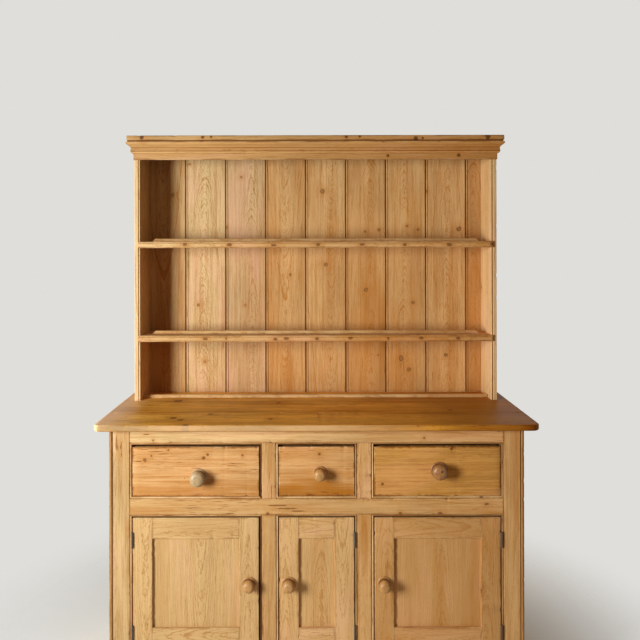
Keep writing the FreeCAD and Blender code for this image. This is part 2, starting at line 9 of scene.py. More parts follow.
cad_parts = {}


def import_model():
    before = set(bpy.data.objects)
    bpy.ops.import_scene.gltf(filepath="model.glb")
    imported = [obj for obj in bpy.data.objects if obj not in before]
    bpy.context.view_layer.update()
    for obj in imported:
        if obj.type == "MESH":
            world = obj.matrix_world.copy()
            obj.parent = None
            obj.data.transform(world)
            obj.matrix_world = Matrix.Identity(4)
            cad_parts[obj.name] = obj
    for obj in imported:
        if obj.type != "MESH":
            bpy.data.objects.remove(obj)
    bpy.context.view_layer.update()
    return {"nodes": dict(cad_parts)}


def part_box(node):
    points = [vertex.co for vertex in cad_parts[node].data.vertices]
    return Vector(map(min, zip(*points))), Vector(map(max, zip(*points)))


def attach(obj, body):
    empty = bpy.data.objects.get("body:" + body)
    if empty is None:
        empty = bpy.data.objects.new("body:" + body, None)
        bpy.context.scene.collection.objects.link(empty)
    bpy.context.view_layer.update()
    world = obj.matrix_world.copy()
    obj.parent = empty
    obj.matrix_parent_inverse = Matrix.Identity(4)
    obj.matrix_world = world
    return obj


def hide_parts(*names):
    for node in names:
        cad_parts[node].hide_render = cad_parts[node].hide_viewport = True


noise.seed_set(7)    # noise_vector takes its offsets from the clock otherwise

# A stripped and waxed pine dresser. Lengths in the dictionaries are millimetres.
mm = 0.001
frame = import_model()
scene = bpy.context.scene
print("frame loaded:", len(frame["nodes"]), "CAD nodes")


def cadBox(node):
    low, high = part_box(node)
    return [c / mm for c in low], [c / mm for c in high]


def cadSolids(node):
    # The boxes of a node's separate solids, from left to right
    shape = bmesh.new()
    shape.from_mesh(frame["nodes"][node].data)
    bmesh.ops.remove_doubles(shape, verts=shape.verts, dist=0.01 * mm)
    boxes, seen = [], set()
    for first in shape.verts:
        if first in seen:
            continue
        seen.add(first)
        group, queue = [], [first]
        while queue:
            vert = queue.pop()
            group.append(vert.co / mm)
            for edge in vert.link_edges:
                other = edge.other_vert(vert)
                if other not in seen:
                    seen.add(other)
                    queue.append(other)
        boxes.append(([min(p[i] for p in group) for i in range(3)],
                      [max(p[i] for p in group) for i in range(3)]))
    shape.free()
    return sorted(boxes)


axes = {"x": Vector((1, 0, 0)), "y": Vector((0, 1, 0)), "z": Vector((0, 0, 1))}
axes.update({"-" + letter: -axis for letter, axis in list(axes.items())})

plankWays = {
    "corner": 1.2,          # rounding of the long edges
    "endCorner": 0.0,       # rounding of the two ends
    "ringGap": 70.0,        # distance between the cross sections that let an edge wander
    "wear": 0.35,           # how much an edge is worn down here and there
    "dents": 0,             # small bruises on the front edges
    "dentSize": (5.0, 12.0),
    "dentDepth": (0.5, 1.4),
    "heart": None,          # where the tree's centre was: sideways, and behind the face
    "heartSide": 0.3,       # where it may be otherwise, in board widths from the middle,
    "heartDepth": (14, 45),     # and behind the face
    "arris": 4.0,           # how far from a long edge its wear reaches
    "wearChange": 0.016,    # how fast that wear changes along the board
    "margin": 9.0,          # a cut this far inside each long edge of a board keeps its face flat,
    "narrow": 20.0,         # where half the board is wider than this
    "tone": (0.0, 0.0, 0.0),    # lighter or darker, pinker, and more honey coloured
    "endTone": None,        # the tone at the board's other end, when it drifts; a drift from left to right is partly painted light
    "soil": None,           # darker above 0 and paler below 0 at a point of the board: grime and wear, and at some places painted shade and painted light
    "shade": None,          # painted light and shade: what a point of the board adds to the tone's three numbers
    "trims": (None, None),  # how much shorter each end is at a point of the section
    "cuts": (),             # further planes across the board, as (axis, place)
    "shape": None,          # further shaping of the raw board
    "matched": None,        # boards cut from one plank share this word
}
sharpAngle = 26             # degrees between two faces, from which their edge stays sharp


def newObject(name, data):
    made = bpy.data.objects.new(name, data)
    scene.collection.objects.link(made)
    return made


def newPiece(name):
    return {"name": name, "random": Random(name), "points": [], "faces": [],
            "grain": [], "place": [], "half": [], "tone": [], "dirt": []}


def addPoint(piece, **values):
    for key, value in values.items():
        piece[key].append(value)


softWays = {
    "sharpFrom": 25,        # degrees that a corner turns by, from which it is rounded
    "beside": 1.8,          # how far from a rounding the point that keeps its flat straight is
    "mostOfSide": 0.45,     # how much of a side its rounding may take
}


def softened(section, radius):
    # Rounds a section's sharp corners, as planing and a century of handling do, and sets a
    # point beside each rounding so that the flat next to it stays flat
    soft = []
    count = len(section)
    beside, most = softWays["beside"], softWays["mostOfSide"]
    for i in range(count):
        before, at, after = (Vector(section[j % count][:2]) for j in (i - 1, i, i + 1))
        dirt = section[i][2] if len(section[i]) > 2 else 0
        into, out = before - at, after - at
        turn = math.pi - into.angle(out, math.pi)
        if turn < math.radians(softWays["sharpFrom"]) or radius <= 0:
            soft.append((at.x, at.y, dirt))
            continue
        cut = min(radius * math.tan(turn / 2), most * into.length, most * out.length)
        if into.length > 4 * (cut + beside):
            soft.append((*(at + into.normalized() * (cut + beside)), 0))
        first, last = at + into.normalized() * cut, at + out.normalized() * cut
        for share in (0, 1 / 3, 2 / 3, 1):
            p = first * (1 - share) ** 2 + at * 2 * share * (1 - share) + last * share ** 2
            soft.append((p.x, p.y, dirt))
        if out.length > 4 * (cut + beside):
            soft.append((*(at + out.normalized() * (cut + beside)), 0))
    return soft


def arc(centreT, centreD, radius, start, end, steps=6, dirt=0):
    points = []
    for i in range(steps + 1):
        turn = math.radians(start + (end - start) * i / steps)
        points.append((centreT + radius * math.cos(turn), centreD + radius * math.sin(turn), dirt))
    return points


def plank(piece, lie, ends, section, **changes):
    # A board as a closed section that runs along its grain. lie names the world axes
    # that the grain, the board's width and its face follow, such as "z x -y".
    make = {**plankWays, **changes}
    along, across, outward = [axes[word] for word in lie.split()]
    rng = piece["random"]
    if make["matched"]:
        rng = Random(make["matched"])
    bm = bmesh.new()
    dirtLayer = bm.verts.layers.float.new("dirt")
    outline = softened(section, make["corner"])
    rings = []
    for side, trim in zip((0, 1), make["trims"]):
        ring = []
        for t, d, dirt in outline:
            cut = trim(t, d) if trim else 0
            vert = bm.verts.new((ends[side] + (cut if side == 0 else -cut), t, d))
            vert[dirtLayer] = dirt
            ring.append(vert)
        rings.append(ring)
    caps = [bm.faces.new(rings[0]), bm.faces.new(reversed(rings[1]))]
    for i in range(len(outline)):
        j = (i + 1) % len(outline)
        bm.faces.new((rings[0][j], rings[0][i], rings[1][i], rings[1][j]))
    bmesh.ops.recalc_face_normals(bm, faces=bm.faces)
    if make["endCorner"] > 0:
        # A list, because the order of a set can change from run to run
        edges = [edge for cap in caps for edge in cap.edges]
        bmesh.ops.bevel(bm, geom=edges, offset=make["endCorner"], segments=2,
                        profile=0.5, affect="EDGES", clamp_overlap=True)
    if make["shape"]:
        make["shape"](bm)
        dirtLayer = bm.verts.layers.float.get("dirt") or bm.verts.layers.float.new("dirt")

    low = [min(v.co[i] for v in bm.verts) for i in range(3)]
    high = [max(v.co[i] for v in bm.verts) for i in range(3)]
    middle = [(a + b) / 2 for a, b in zip(low, high)]
    half = [(b - a) / 2 for a, b in zip(low, high)]
    dents = []
    for i in range(make["dents"]):
        size = rng.uniform(*make["dentSize"])
        dents.append((rng.uniform(low[0], high[0]), rng.choice((low[1], high[1])), high[2],
                      size, rng.uniform(*make["dentDepth"])))
    count = max(1, round((high[0] - low[0]) / make["ringGap"]))
    stations = [low[0] + (high[0] - low[0]) * (i + 0.5) / count for i in range(count)]
    for dent in dents:
        stations += [dent[0] + dent[3] * share for share in (-1, -0.45, 0, 0.45, 1)]
    margins = (low[1] + make["margin"], high[1] - make["margin"])
    flats = [(1, place) for place in margins if half[1] > make["narrow"]]
    for axis, place in [(0, station) for station in stations] + flats + list(make["cuts"]):
        normal = Vector([1.0 if i == axis else 0.0 for i in range(3)])
        everything = bm.verts[:] + bm.edges[:] + bm.faces[:]
        bmesh.ops.bisect_plane(bm, geom=everything, dist=0.001, plane_co=normal * place,
                               plane_no=normal)

    aside = make["heartSide"]
    heart = make["heart"] or (rng.uniform(-aside, aside) * 2 * half[1],
                              rng.uniform(*make["heartDepth"]))
    heartT, heartD = middle[1] + heart[0], high[2] - heart[1] - half[2]
    flip = rng.choice((-1, 1))
    drift = rng.uniform(0, 60) / mm
    seed = rng.uniform(0, 500)
    flipped = along.cross(across).dot(outward) < 0
    base = len(piece["points"])
    for index, vert in enumerate(bm.verts):
        vert.index = index
        length, t, d = vert.co
        sideT, sideD = t - middle[1], d - middle[2]
        arris = (max(0, 1 - (half[1] - abs(sideT)) / make["arris"])
                 * max(0, 1 - (half[2] - abs(sideD)) / make["arris"]))
        rub = noise.noise_vector(Vector((
            length * make["wearChange"], seed + math.copysign(3, sideT), math.copysign(3, sideD))))
        newT = t - make["wear"] * arris * math.copysign(max(0, 0.5 + rub.x), sideT)
        newD = d - make["wear"] * arris * math.copysign(max(0, 0.5 + rub.y), sideD)
        for dentL, dentT, dentD, size, depth in dents:
            gap = math.dist((length, t, d), (dentL, dentT, dentD)) / size
            if gap < 1:
                push = depth * (1 - gap * gap) ** 2
                newT -= math.copysign(push, sideT)
                newD -= math.copysign(push, sideD)
        share = (length - low[0]) / (high[0] - low[0])
        shade = make["shade"](length, t, d) if make["shade"] else (0, 0, 0)
        soil = make["soil"](length, t, d) if make["soil"] else 0
        addPoint(piece, points=(along * length + across * newT + outward * newD) * mm,
                 grain=((flip * length + drift) * mm, (t - heartT) * mm, (d - heartD) * mm),
                 place=[(c - m) * mm for c, m in zip((length, t, d), middle)],
                 half=[h * mm for h in half], dirt=vert[dirtLayer] + soil,
                 tone=[a + (b - a) * share + more for a, b, more in zip(
                     make["tone"], make["endTone"] or make["tone"], shade)])
    for face in bm.faces:
        corners = [base + vert.index for vert in face.verts]
        piece["faces"].append(corners[::-1] if flipped else corners)
    bm.free()


def rect(t0, t1, d0, d1):
    return [(t0, d0), (t1, d0), (t1, d1), (t0, d1)]


def spans(low, high, lie):
    # A box's extent along each of the board's own axes
    found = []
    for word in lie.split():
        a, b = axes[word].dot(Vector(low)), axes[word].dot(Vector(high))
        found.append((min(a, b), max(a, b)))
    return found


def boxBoard(piece, low, high, lie=None, **changes):
    # A plain board that fills a box. Its grain follows the longest side unless lie says other
    if lie is None:
        order = sorted(range(3), key=lambda i: low[i] - high[i])
        lie = " ".join("xyz"[i] for i in order)
    ends, (t0, t1), (d0, d1) = spans(low, high, lie)
    plank(piece, lie, ends, rect(t0, t1, d0, d1), **changes)


def makeObject(piece, finish, body="carcass"):
    # Makes the piece that takes the place of the CAD node of its own name
    mesh = bpy.data.meshes.new(piece["name"])
    mesh.from_pydata(piece["points"], [], piece["faces"])
    for name in ("grain", "place", "half", "tone"):
        layer = mesh.attributes.new(name, "FLOAT_VECTOR", "POINT")
        layer.data.foreach_set("vector", [c for vector in piece[name] for c in vector])
    # This attribute carries grime and wear, and also painted shade and painted light
    layer = mesh.attributes.new("dirt", "FLOAT", "POINT")
    layer.data.foreach_set("value", piece["dirt"])
    mesh.shade_smooth()
    mesh.set_sharp_from_angle(angle=math.radians(sharpAngle))
    mesh.materials.append(finishes[finish])
    obj = newObject(piece["name"], mesh)
    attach(obj, body)
    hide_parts(piece["name"])


def boardPiece(name, finish, slot, lie, body="carcass", **changes):
    # A piece that is one board and fills its CAD box
    piece = newPiece(name)
    boxBoard(piece, *cadBox(name), lie, **changes)
    makeObject(piece, finish, body)


def mitredMoulding(front, returns, profile, face, side, back, frontWays, returnWays):
    # A moulding along the front and back along both sides, mitred at the corners. Its profile
    # is height and reach, face and side are what it lies against, and back is where it ends
    mitre = lambda t, d: face - d
    plank(front, "x z -y", (-side, side), [(p[0], face + p[1], *p[2:]) for p in profile],
          trims=(mitre, mitre), **frontWays)
    for outward in ("-x", "x"):
        plank(returns, "-y z " + outward, (back, face),
              [(p[0], side + p[1], *p[2:]) for p in profile],
              trims=(None, lambda t, d: side - d), **returnWays)


def linear(hexColour):
    parts = [int(hexColour[i:i + 2], 16) / 255 for i in (1, 3, 5)]
    return tuple(c / 12.92 if c < 0.04045 else ((c + 0.055) / 1.055) ** 2.4 for c in parts) + (1,)


# Short words for kinds of node: the type, its settings, and the inputs that the values go to
nodeWords = {
    "ramp": ("ShaderNodeMapRange", {"interpolation_type": "SMOOTHSTEP"}, range(5)),
    "blend": ("ShaderNodeMix", {"data_type": "RGBA"}, (0, 6, 7)),
    "split": ("ShaderNodeSeparateXYZ", {}, range(1)),
    "vector scale": ("ShaderNodeVectorMath", {"operation": "SCALE"}, (0, 3)),
}


def setInputs(node, named):
    # Each input takes a value, a socket, or another node's first output
    for key, value in named.items():
        if isinstance(value, bpy.types.Node):
            value = next(socket for socket in value.outputs if socket.enabled)
        if isinstance(value, bpy.types.NodeSocket):
            node.id_data.links.new(value, node.inputs[key])
        else:
            node.inputs[key].default_value = value


def addNode(tree, kind, *inputs, **settings):
    # Adds a node by its type, by one of the words above, or by a sum such as "vector length".
    # A dictionary says which input each value goes to
    order = range(len(inputs))
    if kind in nodeWords:
        kind, known, order = nodeWords[kind]
        settings = {**known, **settings}
    elif "Node" not in kind:
        settings["operation"] = kind.removeprefix("vector ").replace(" ", "_").upper()
        kind = "ShaderNodeVectorMath" if kind.startswith("vector ") else "ShaderNodeMath"
    node = tree.nodes.new(kind)
    for key, value in settings.items():
        setattr(node, key, value)
    named = inputs[0] if inputs and isinstance(inputs[0], dict) else dict(zip(order, inputs))
    setInputs(node, named)
    return node


# Old pine, sawn from the log, planed, stripped and waxed: soft pale early wood between
# narrow resinous late wood lines, arched where the saw ran close to the growth rings
pineLooks = {
    "light": "#dfb780", "dark": "#b27b40",      # early and late wood
    "blush": "#d19a80", "honey": "#b06a22",     # pink and honey coloured patches
    "knot": "#8a5428", "grime": "#4a2c14", "worn": "#f0cd9a",
    "ringWidth": 0.0032, "ringContrast": 0.6,   # a year's growth in metres, and how it stands out
    "taper": 0.04, "swirl": 0.02,               # what turns the rings into arches
    "streak": 0.5, "fibre": 0.35, "dash": 0.25, "mottle": 0.35,
    "knotShare": 0.05, "markedKnot": 60.0,      # how many cells hold a knot, and the named knots
    "blushAmount": 0.2, "honeyAmount": 0.25, "lowerHoney": 0.0,
    "scars": 0.5, "grimeAmount": 0.4, "wearAmount": 0.3,
}
# Noise drawn out along the grain: length and width of its patches in mm, octaves, roughness
grainLayers = {
    "sway": (240, 170, 1.5, 0.4), "shiver": (16, 5.5, 2, 0.6), "streak": (300, 8.5, 3, 0.7),
    "fibre": (34, 1.6, 2, 0.6), "wideStreak": (590, 60, 2, 0.5), "cloud": (310, 90, 2, 0.5),
    "crack": (59, 2.8, 1, 0.5), "cluster": (435, 70, 1, 0.5), "ragged": (15, 7, 3, 0.65),
    "soil": (110, 33, 1, 0.5), "uneven": (12, 9, 2, 0.6), "dash": (60, 9, 2, 0.6),
}
knotCell = (290, 115)       # mm of board that hold one knot at most
knotAlong = 0.8             # what a step along the grain counts, so that knots are long
knotRadius = (0.0035, 0.0045)   # the smallest in metres, and what the largest has more
knotSpread = 0.10           # how fast the grain straightens beside a knot
noKnot = 60.0               # how far off a knot is, in its own radii, where there is none
slowYears = (0.31, 2.6)     # how often the years' widths change, and by how many years
holeScale, holeShare = 34.0, 0.14       # one pin hole at most in 29 mm, and how many there are
bruise, stainAndShadeTone = (0.42, 0.27, 0.15), (0.50, 0.34, 0.18)      # what they leave of the colour


def pineFigure():
    tree = bpy.data.node_groups.new("pineFigure", "ShaderNodeTree")
    for name, value in pineLooks.items():
        kind = "NodeSocketColor" if isinstance(value, str) else "NodeSocketFloat"
        socket = tree.interface.new_socket(name, in_out="INPUT", socket_type=kind)
        socket.default_value = linear(value) if isinstance(value, str) else value
    for name, kind in (("Color", "Color"), ("Gloss", "Float"), ("Height", "Float")):
        tree.interface.new_socket(name, in_out="OUTPUT", socket_type="NodeSocket" + kind)
    node = partial(addNode, tree)
    enter = node("NodeGroupInput").outputs
    grain, place, halfSize, toneSet = [
        node("ShaderNodeAttribute", attribute_name=name).outputs["Vector"]
        for name in ("grain", "place", "half", "tone")]
    dirt = node("ShaderNodeAttribute", attribute_name="dirt").outputs["Fac"]
    tone = node("split", toneSet).outputs
    along = node("split", grain).outputs["X"]
    layer = {}
    for name, (length, width, octaves, roughness) in grainLayers.items():
        scale = (1 / (length * mm), 1 / (width * mm), 1 / (width * mm))
        spread = node("vector multiply", grain, scale)
        layer[name] = node("ShaderNodeTexNoise", {
            "Vector": spread, "Scale": 1.0, "Detail": octaves, "Roughness": roughness})

    # How far the nearest knot is, in its own radii: some cells hold one, 7 to 16 mm across
    cellScale = (1 / (knotCell[0] * mm), 1 / (knotCell[1] * mm), 0)
    cells = node("vector multiply", grain, cellScale)
    cell = node("ShaderNodeTexVoronoi", {"Vector": cells, "Scale": 1.0, "Randomness": 0.9},
                voronoi_dimensions="2D")
    away = node("vector subtract", cells, cell.outputs["Position"])
    away = node("vector multiply", away, (knotAlong / cellScale[0], 1 / cellScale[1], 0))
    away = node("vector length", away)
    chance = node("ShaderNodeSeparateColor", cell.outputs["Color"]).outputs
    smallest, more = knotRadius
    knotSize = node("multiply add", chance["Green"], more, smallest)
    absent = node("greater than", chance["Red"], enter["knotShare"])
    knot = node("multiply add", absent, noKnot, node("divide", away, knotSize))
    knot = node("minimum", knot, enter["markedKnot"])
    lumpy = node("multiply add", layer["uneven"], 0.9, 0.55)
    knot = node("multiply", knot, lumpy)
    bend = node("multiply", node("power", knot, 2.0), -knotSpread)
    bend = node("exponent", bend)

    # Growth rings round the tree's centre, wandering along the board and round its knots
    bent = grain
    for name, amount in (("sway", enter["swirl"]), ("shiver", 0.0045)):
        push = node("vector subtract", layer[name].outputs["Color"], (0.5, 0.5, 0.5))
        push = node("vector scale", push, amount)
        if name == "sway":
            push = node("vector multiply", push, (0.0, 0.3, 1.0))
        bent = node("vector add", bent, push)
    bent = node("vector multiply", bent, (0.0, 1.0, 1.0))
    radius = node("vector length", bent).outputs["Value"]
    radius = node("multiply add", along, enter["taper"], radius)
    radius = node("multiply add", bend, 0.009, radius)
    years = node("divide", radius, enter["ringWidth"])
    often, shift = slowYears
    slow = node("multiply", years, often)
    slow = node("ShaderNodeTexNoise", {"W": slow, "Scale": 1.0, "Detail": 1.0},
                noise_dimensions="1D")
    years = node("multiply add", slow, shift, years)
    season = node("fract", years)
    rise = node("ramp", season, 0.62, 0.92)
    fall = node("ramp", season, 0.93, 1.0, 1.0, 0.0)
    late = node("multiply", rise, fall)

    # Late wood, streaks and fibres together choose between the two wood colours
    figure = node("multiply add", late, enter["ringContrast"], 0.16)
    for name, amount in (("streak", 2.2), ("fibre", 1.0), ("dash", 1.6)):
        swing = node("multiply", node("add", layer[name], -0.5), amount)
        figure = node("multiply add", swing, enter[name], figure)
    share = node("ShaderNodeClamp", figure)
    colour = node("blend", share, enter["light"], enter["dark"])

    # Honey coloured and pink patches, and each board's own tone, which along some boards also
    # carries painted light and shade
    way = node("vector divide", place, halfSize)
    low = node("split", way).outputs["Y"]
    for name, amount in (("soil", -1.0), ("streak", -0.8)):
        low = node("multiply add", layer[name], amount, low)
    low = node("multiply", node("ramp", low, -1.1, -1.75), enter["lowerHoney"])
    much = node("multiply", tone["Z"], 4.0, use_clamp=True)
    low = node("multiply", low, much)
    honey = node("ramp", layer["wideStreak"], 0.44, 0.70)
    honey = node("multiply add", honey, enter["honeyAmount"], low)
    honey = node("add", honey, tone["Z"], use_clamp=True)
    colour = node("blend", honey, colour, enter["honey"])
    blush = node("ramp", layer["cloud"], 0.47, 0.64)
    blush = node("multiply add", blush, enter["blushAmount"], tone["Y"], use_clamp=True)
    colour = node("blend", blush, colour, enter["blush"])
    light = node("multiply add", node("add", layer["cloud"], -0.5), enter["mottle"], 1.0)
    light = node("add", light, tone["X"])
    colour = node("vector scale", colour, light)

    # A knot: a honey halo, a brown disc, a broken dark rim and a dark pith
    halo = node("multiply", bend, 0.45)
    colour = node("blend", halo, colour, enter["honey"])
    disc = node("ramp", knot, 0.75, 1.15, 0.85, 0.0)
    colour = node("blend", disc, colour, enter["knot"])
    rim = node("ramp", knot, 0.95, 1.35, 1.0, 0.0)
    inside = node("ramp", knot, 0.55, 0.85)
    rim = node("multiply", rim, inside)
    pith = node("ramp", knot, 0.15, 0.5, 0.35, 0.0)
    rim = node("multiply", rim, layer["ragged"])
    rim = node("multiply add", rim, 1.2, pith, use_clamp=True)
    colour = node("blend", rim, colour, enter["grime"])

    # Short cracks and bruises along the grain, in clusters, and pin holes
    crack = node("ramp", layer["crack"], 0.64, 0.72)
    cluster = node("ramp", layer["cluster"], 0.50, 0.64)
    crack = node("multiply", crack, cluster)
    holes = node("ShaderNodeTexVoronoi", {"Vector": grain, "Scale": holeScale})
    hole = node("ramp", holes.outputs["Distance"], 0.035, 0.065, 1.0, 0.0)
    few = node("ShaderNodeSeparateColor", holes.outputs["Color"])
    few = node("less than", few, holeShare)
    scar = node("multiply add", hole, few, crack)
    scar = node("multiply", scar, enter["scars"], use_clamp=True)
    bruised = node("vector multiply", colour, bruise)
    colour = node("blend", scar, colour, bruised)

    # The way to the board's nearest edge: old grime gathers there, and hands wear it pale
    room = node("vector subtract", halfSize, node("vector absolute", place))
    room = node("split", room).outputs
    lower = node("minimum", room["X"], room["Y"])
    upper = node("minimum", node("maximum", room["X"], room["Y"]), room["Z"])
    edge = node("multiply add", layer["ragged"], -0.012, node("maximum", lower, upper))
    grime = node("ramp", edge, -0.0055, 0.0005, 1.0, 0.0)
    soil = node("ramp", layer["soil"], 0.38, 0.62)
    grime = node("multiply", node("multiply", grime, soil), enter["grimeAmount"])
    worn = node("ramp", edge, -0.006, -0.0036, 1.0, 0.0)
    # Below 0 the attribute makes the wood paler: wear, and on the worktop painted light on its
    # front edge and a painted reflection
    wearAndPaintedLight = node("ShaderNodeMapRange", dirt, 0.0, -1.0)
    worn = node("multiply add", worn, enter["wearAmount"], wearAndPaintedLight)
    pale = node("vector scale", enter["worn"], light)
    colour = node("blend", worn, colour, pale)
    # Above 0 it darkens the wood with the edges' grime: grime, and also painted shade in joints,
    # gaps, hollows and under lips and edges
    stainAndShade = node("multiply add", dirt, 2.0, grime, use_clamp=True)
    stainedAndShaded = node("vector multiply", colour, stainAndShadeTone)
    colour = node("blend", stainAndShade, colour, stainedAndShaded)
    # Where it is thick the colour goes near to black: grime and painted shade deep in joints and
    # gaps
    dark = node("vector scale", enter["grime"], 0.4)
    thick = node("ShaderNodeMapRange", dirt, 0.35, 1.0)
    colour = node("blend", thick, colour, dark)

    height = node("multiply add", late, 0.35, node("multiply", layer["fibre"], 0.25))
    height = node("subtract", node("multiply add", disc, 0.5, height), scar)
    gloss = node("subtract", figure, scar, use_clamp=True)
    node("NodeGroupOutput", {"Color": colour, "Gloss": gloss, "Height": height})
    return tree


figureTree = pineFigure()


def markedKnots(tree, spots, flatAxis):
    # How far a point is from the nearest of the named knots, in knot radii, seen along an axis.
    # A fourth number draws a knot out across the dresser
    node = partial(addNode, tree)
    mask = tuple(0.0 if "xyz"[i] == flatAxis else 1.0 for i in range(3))
    place = node("ShaderNodeTexCoord").outputs["Object"]
    place = node("vector multiply", place, mask)
    nearest = noKnot
    for a, b, radius, *drawn in spots:
        scale = Vector((1 / (drawn or [1])[0], 1, 1)) / (radius * mm)
        spot = Vector((a, 0, b) if flatAxis == "y" else (a, b, 0)) * mm
        gap = node("vector multiply add", place, scale, -spot * scale)
        gap = node("vector length", gap).outputs["Value"]
        nearest = node("minimum", gap, nearest)
    return nearest


def newMaterial(name):
    material = bpy.data.materials.new(name)
    material.use_nodes = True
    return material, material.node_tree, material.node_tree.nodes["Principled BSDF"]


def pine(name, roughness=(0.62, 0.46), relief=0.35, specular=0.12, knots=(), flatAxis="y",
         **changes):
    material, tree, shader = newMaterial(name)
    node = partial(addNode, tree)
    looks = {key: linear(value) if isinstance(value, str) else value
             for key, value in {**pineLooks, **changes}.items()}
    if knots:
        looks["markedKnot"] = markedKnots(tree, knots, flatAxis)
    figure = node("ShaderNodeGroup", node_tree=figureTree)
    setInputs(figure, looks)
    rough = node("ShaderNodeMapRange", figure.outputs["Gloss"], 0.0, 1.0, *roughness)
    bump = node("ShaderNodeBump", {"Strength": 0.6, "Distance": relief * mm,
                                   "Height": figure.outputs["Height"]})
    setInputs(shader, {"Base Color": figure.outputs["Color"], "Roughness": rough, "Normal": bump,
                       "IOR": 1.5, "Specular IOR Level": specular})
    return material


# Knots that the eye finds first: place across, height (or depth) and radius
corniceKnots = [
    (-629, 1820, 7), (-408, 1821, 5), (-378, 1822, 4), (112, 1821, 5), (161, 1823, 4),
    (364, 1815, 7), (389, 1816, 4), (625, 1820, 8), (265, 1755, 5), (524, 1757, 6),
]
boardKnots = [
    (247, 1489, 5.5), (399, 1490, 5), (193, 1483, 4), (356, 1504, 4), (28, 1640, 8),
    (-487, 1746, 3.5), (379, 1207, 5.5), (41, 1355, 6.5), (-97, 1316, 4.5), (-273, 1198, 3.5),
    (197, 1256, 7), (506, 1003, 6), (362, 947, 6.5), (243, 1003, 3), (558, 1492, 8),
    (-430, 979, 4), (-454, 1199, 5), (-553, 1626, 7), (-287, 1695, 4),
]
upperNosingKnots = [
    (-478, 1432, 4.5, 1.8), (-315, 1431, 5, 1.7), (-152, 1429, 4, 2.2), (9, 1431, 4.5, 1.6),
    (170, 1431, 4, 2), (327, 1430, 4.5, 1.5), (490, 1430, 5, 1.9), (645, 1432, 5),
]
lowerNosingKnots = [
    (-404, 1087, 4, 1.8), (-328, 1088, 3), (-148, 1086, 4, 1.6), (-108, 1088, 4, 2),
    (5, 1087, 4.5, 1.5), (126, 1089, 4, 2), (265, 1088, 4), (386, 1089, 4.5, 1.6),
    (521, 1088, 4, 2),
]
drawerKnots = [
    (-472, 775, 3), (-547, 743, 5), (-347, 760, 4), (-360, 749, 4.5), (-526, 756, 3),
    (9, 761, 4), (430, 776, 4), (210, 665, 4), (-236, 758, 3),
]
worktopKnots = [
    (-503, 94, 14), (-470, -150, 10), (-441, -176, 9), (-413, -242, 9), (-135, 59, 8),
    (-150, -166, 7), (461, -50, 8),
]
frameKnots = [
    (-624, 785, 6, 0.3), (-621, 760, 5, 0.3), (267, 572, 4), (343, 812, 3), (525, 623, 3, 1.6),
    (541, 601, 3, 2), (-125, 598, 2.2, 13), (-92, 588, 2.4, 11), (-62, 580, 1.8, 10),
    (-156, 572, 4), (-520, 806, 2.5), (-540, 825, 1.5, 5),
]

finishes = {
    "frame": pine("waxedPineFrame", knots=frameKnots, light="#e0b57c", dark="#b17c44",
                  knot="#94622f", scars=1.2, ringContrast=0.35, streak=1.0, fibre=0.6, dash=0.5,
                  mottle=0.5, honeyAmount=0.4, grimeAmount=0.6, wearAmount=0.12),
    "rack": pine("waxedPineRack"),
    "cornice": pine("waxedPineCornice", knots=corniceKnots, light="#d3a267", dark="#a06a33",
                    knot="#54321a", grimeAmount=0.8, ringContrast=0.4),
    # The worktop's worn colour is also the colour of its front edge painted pale and of the
    # painted reflection on its top
    "worktop": pine("waxedPineWorktop", roughness=(0.48, 0.36), specular=0.08, knots=worktopKnots,
                    flatAxis="z", light="#efb14e", dark="#a26724", worn="#be946a",
                    honey="#b26c18", honeyAmount=0.6, blushAmount=0.0, streak=1.1, fibre=0.6,
                    dash=1.1, mottle=0.8, scars=1.6, grimeAmount=0.7),
    "back": pine("waxedPineBackBoards", knots=boardKnots, knot="#a06c3a", ringWidth=0.0024,
                 ringContrast=0.85, taper=0.09, swirl=0.03, streak=1.25, fibre=0.8, dash=0.6,
                 mottle=0.55, blushAmount=0.3),
    "nosing": pine("waxedPineNosing", knots=upperNosingKnots + lowerNosingKnots,
                   knot="#83532a", taper=0.01, swirl=0.01, grimeAmount=0.8),
    "drawer": pine("waxedPineDrawers", knots=drawerKnots, light="#e2ac72", dark="#b06f30",
                   honey="#b06a1e", lowerHoney=0.64, scars=1.4, grimeAmount=0.9, streak=0.85,
                   fibre=0.8, dash=0.4, mottle=0.6, ringContrast=0.4, taper=0.01),
    "darkDrawer": pine("waxedPineDarkDrawer", knots=drawerKnots, light="#d3974e", dark="#955a22",
                       honey="#b8762c", lowerHoney=0.5, scars=1.9, grimeAmount=1.1, streak=0.95,
                       fibre=1.0, dash=0.5, mottle=0.6, ringContrast=0.4, taper=0.01),
    "door": pine("waxedPineDoors", light="#ddb076", dark="#b27c42", grimeAmount=0.6),
    "inner": pine("barePine", roughness=(0.75, 0.62), light="#d8b184", dark="#b58c5b"),
}
print("materials made:", len(finishes))


rackWays = {
    "bead": 6.0, "quirk": 2.0, "quirkDepth": 3.0, "backRebate": 10.0, "backBoard": 12.0,
    "nosingFlat": 3.0, "nosingEnd": 7.0, "railRound": 5.0, "capNeck": 5.0, "capShy": 3.2,
}
rackLow, rackHigh = cadBox("rack_side_right")
rackFront, rackBack = -rackLow[1], -rackHigh[1]
rackInner, rackOuter = rackLow[0], rackHigh[0]


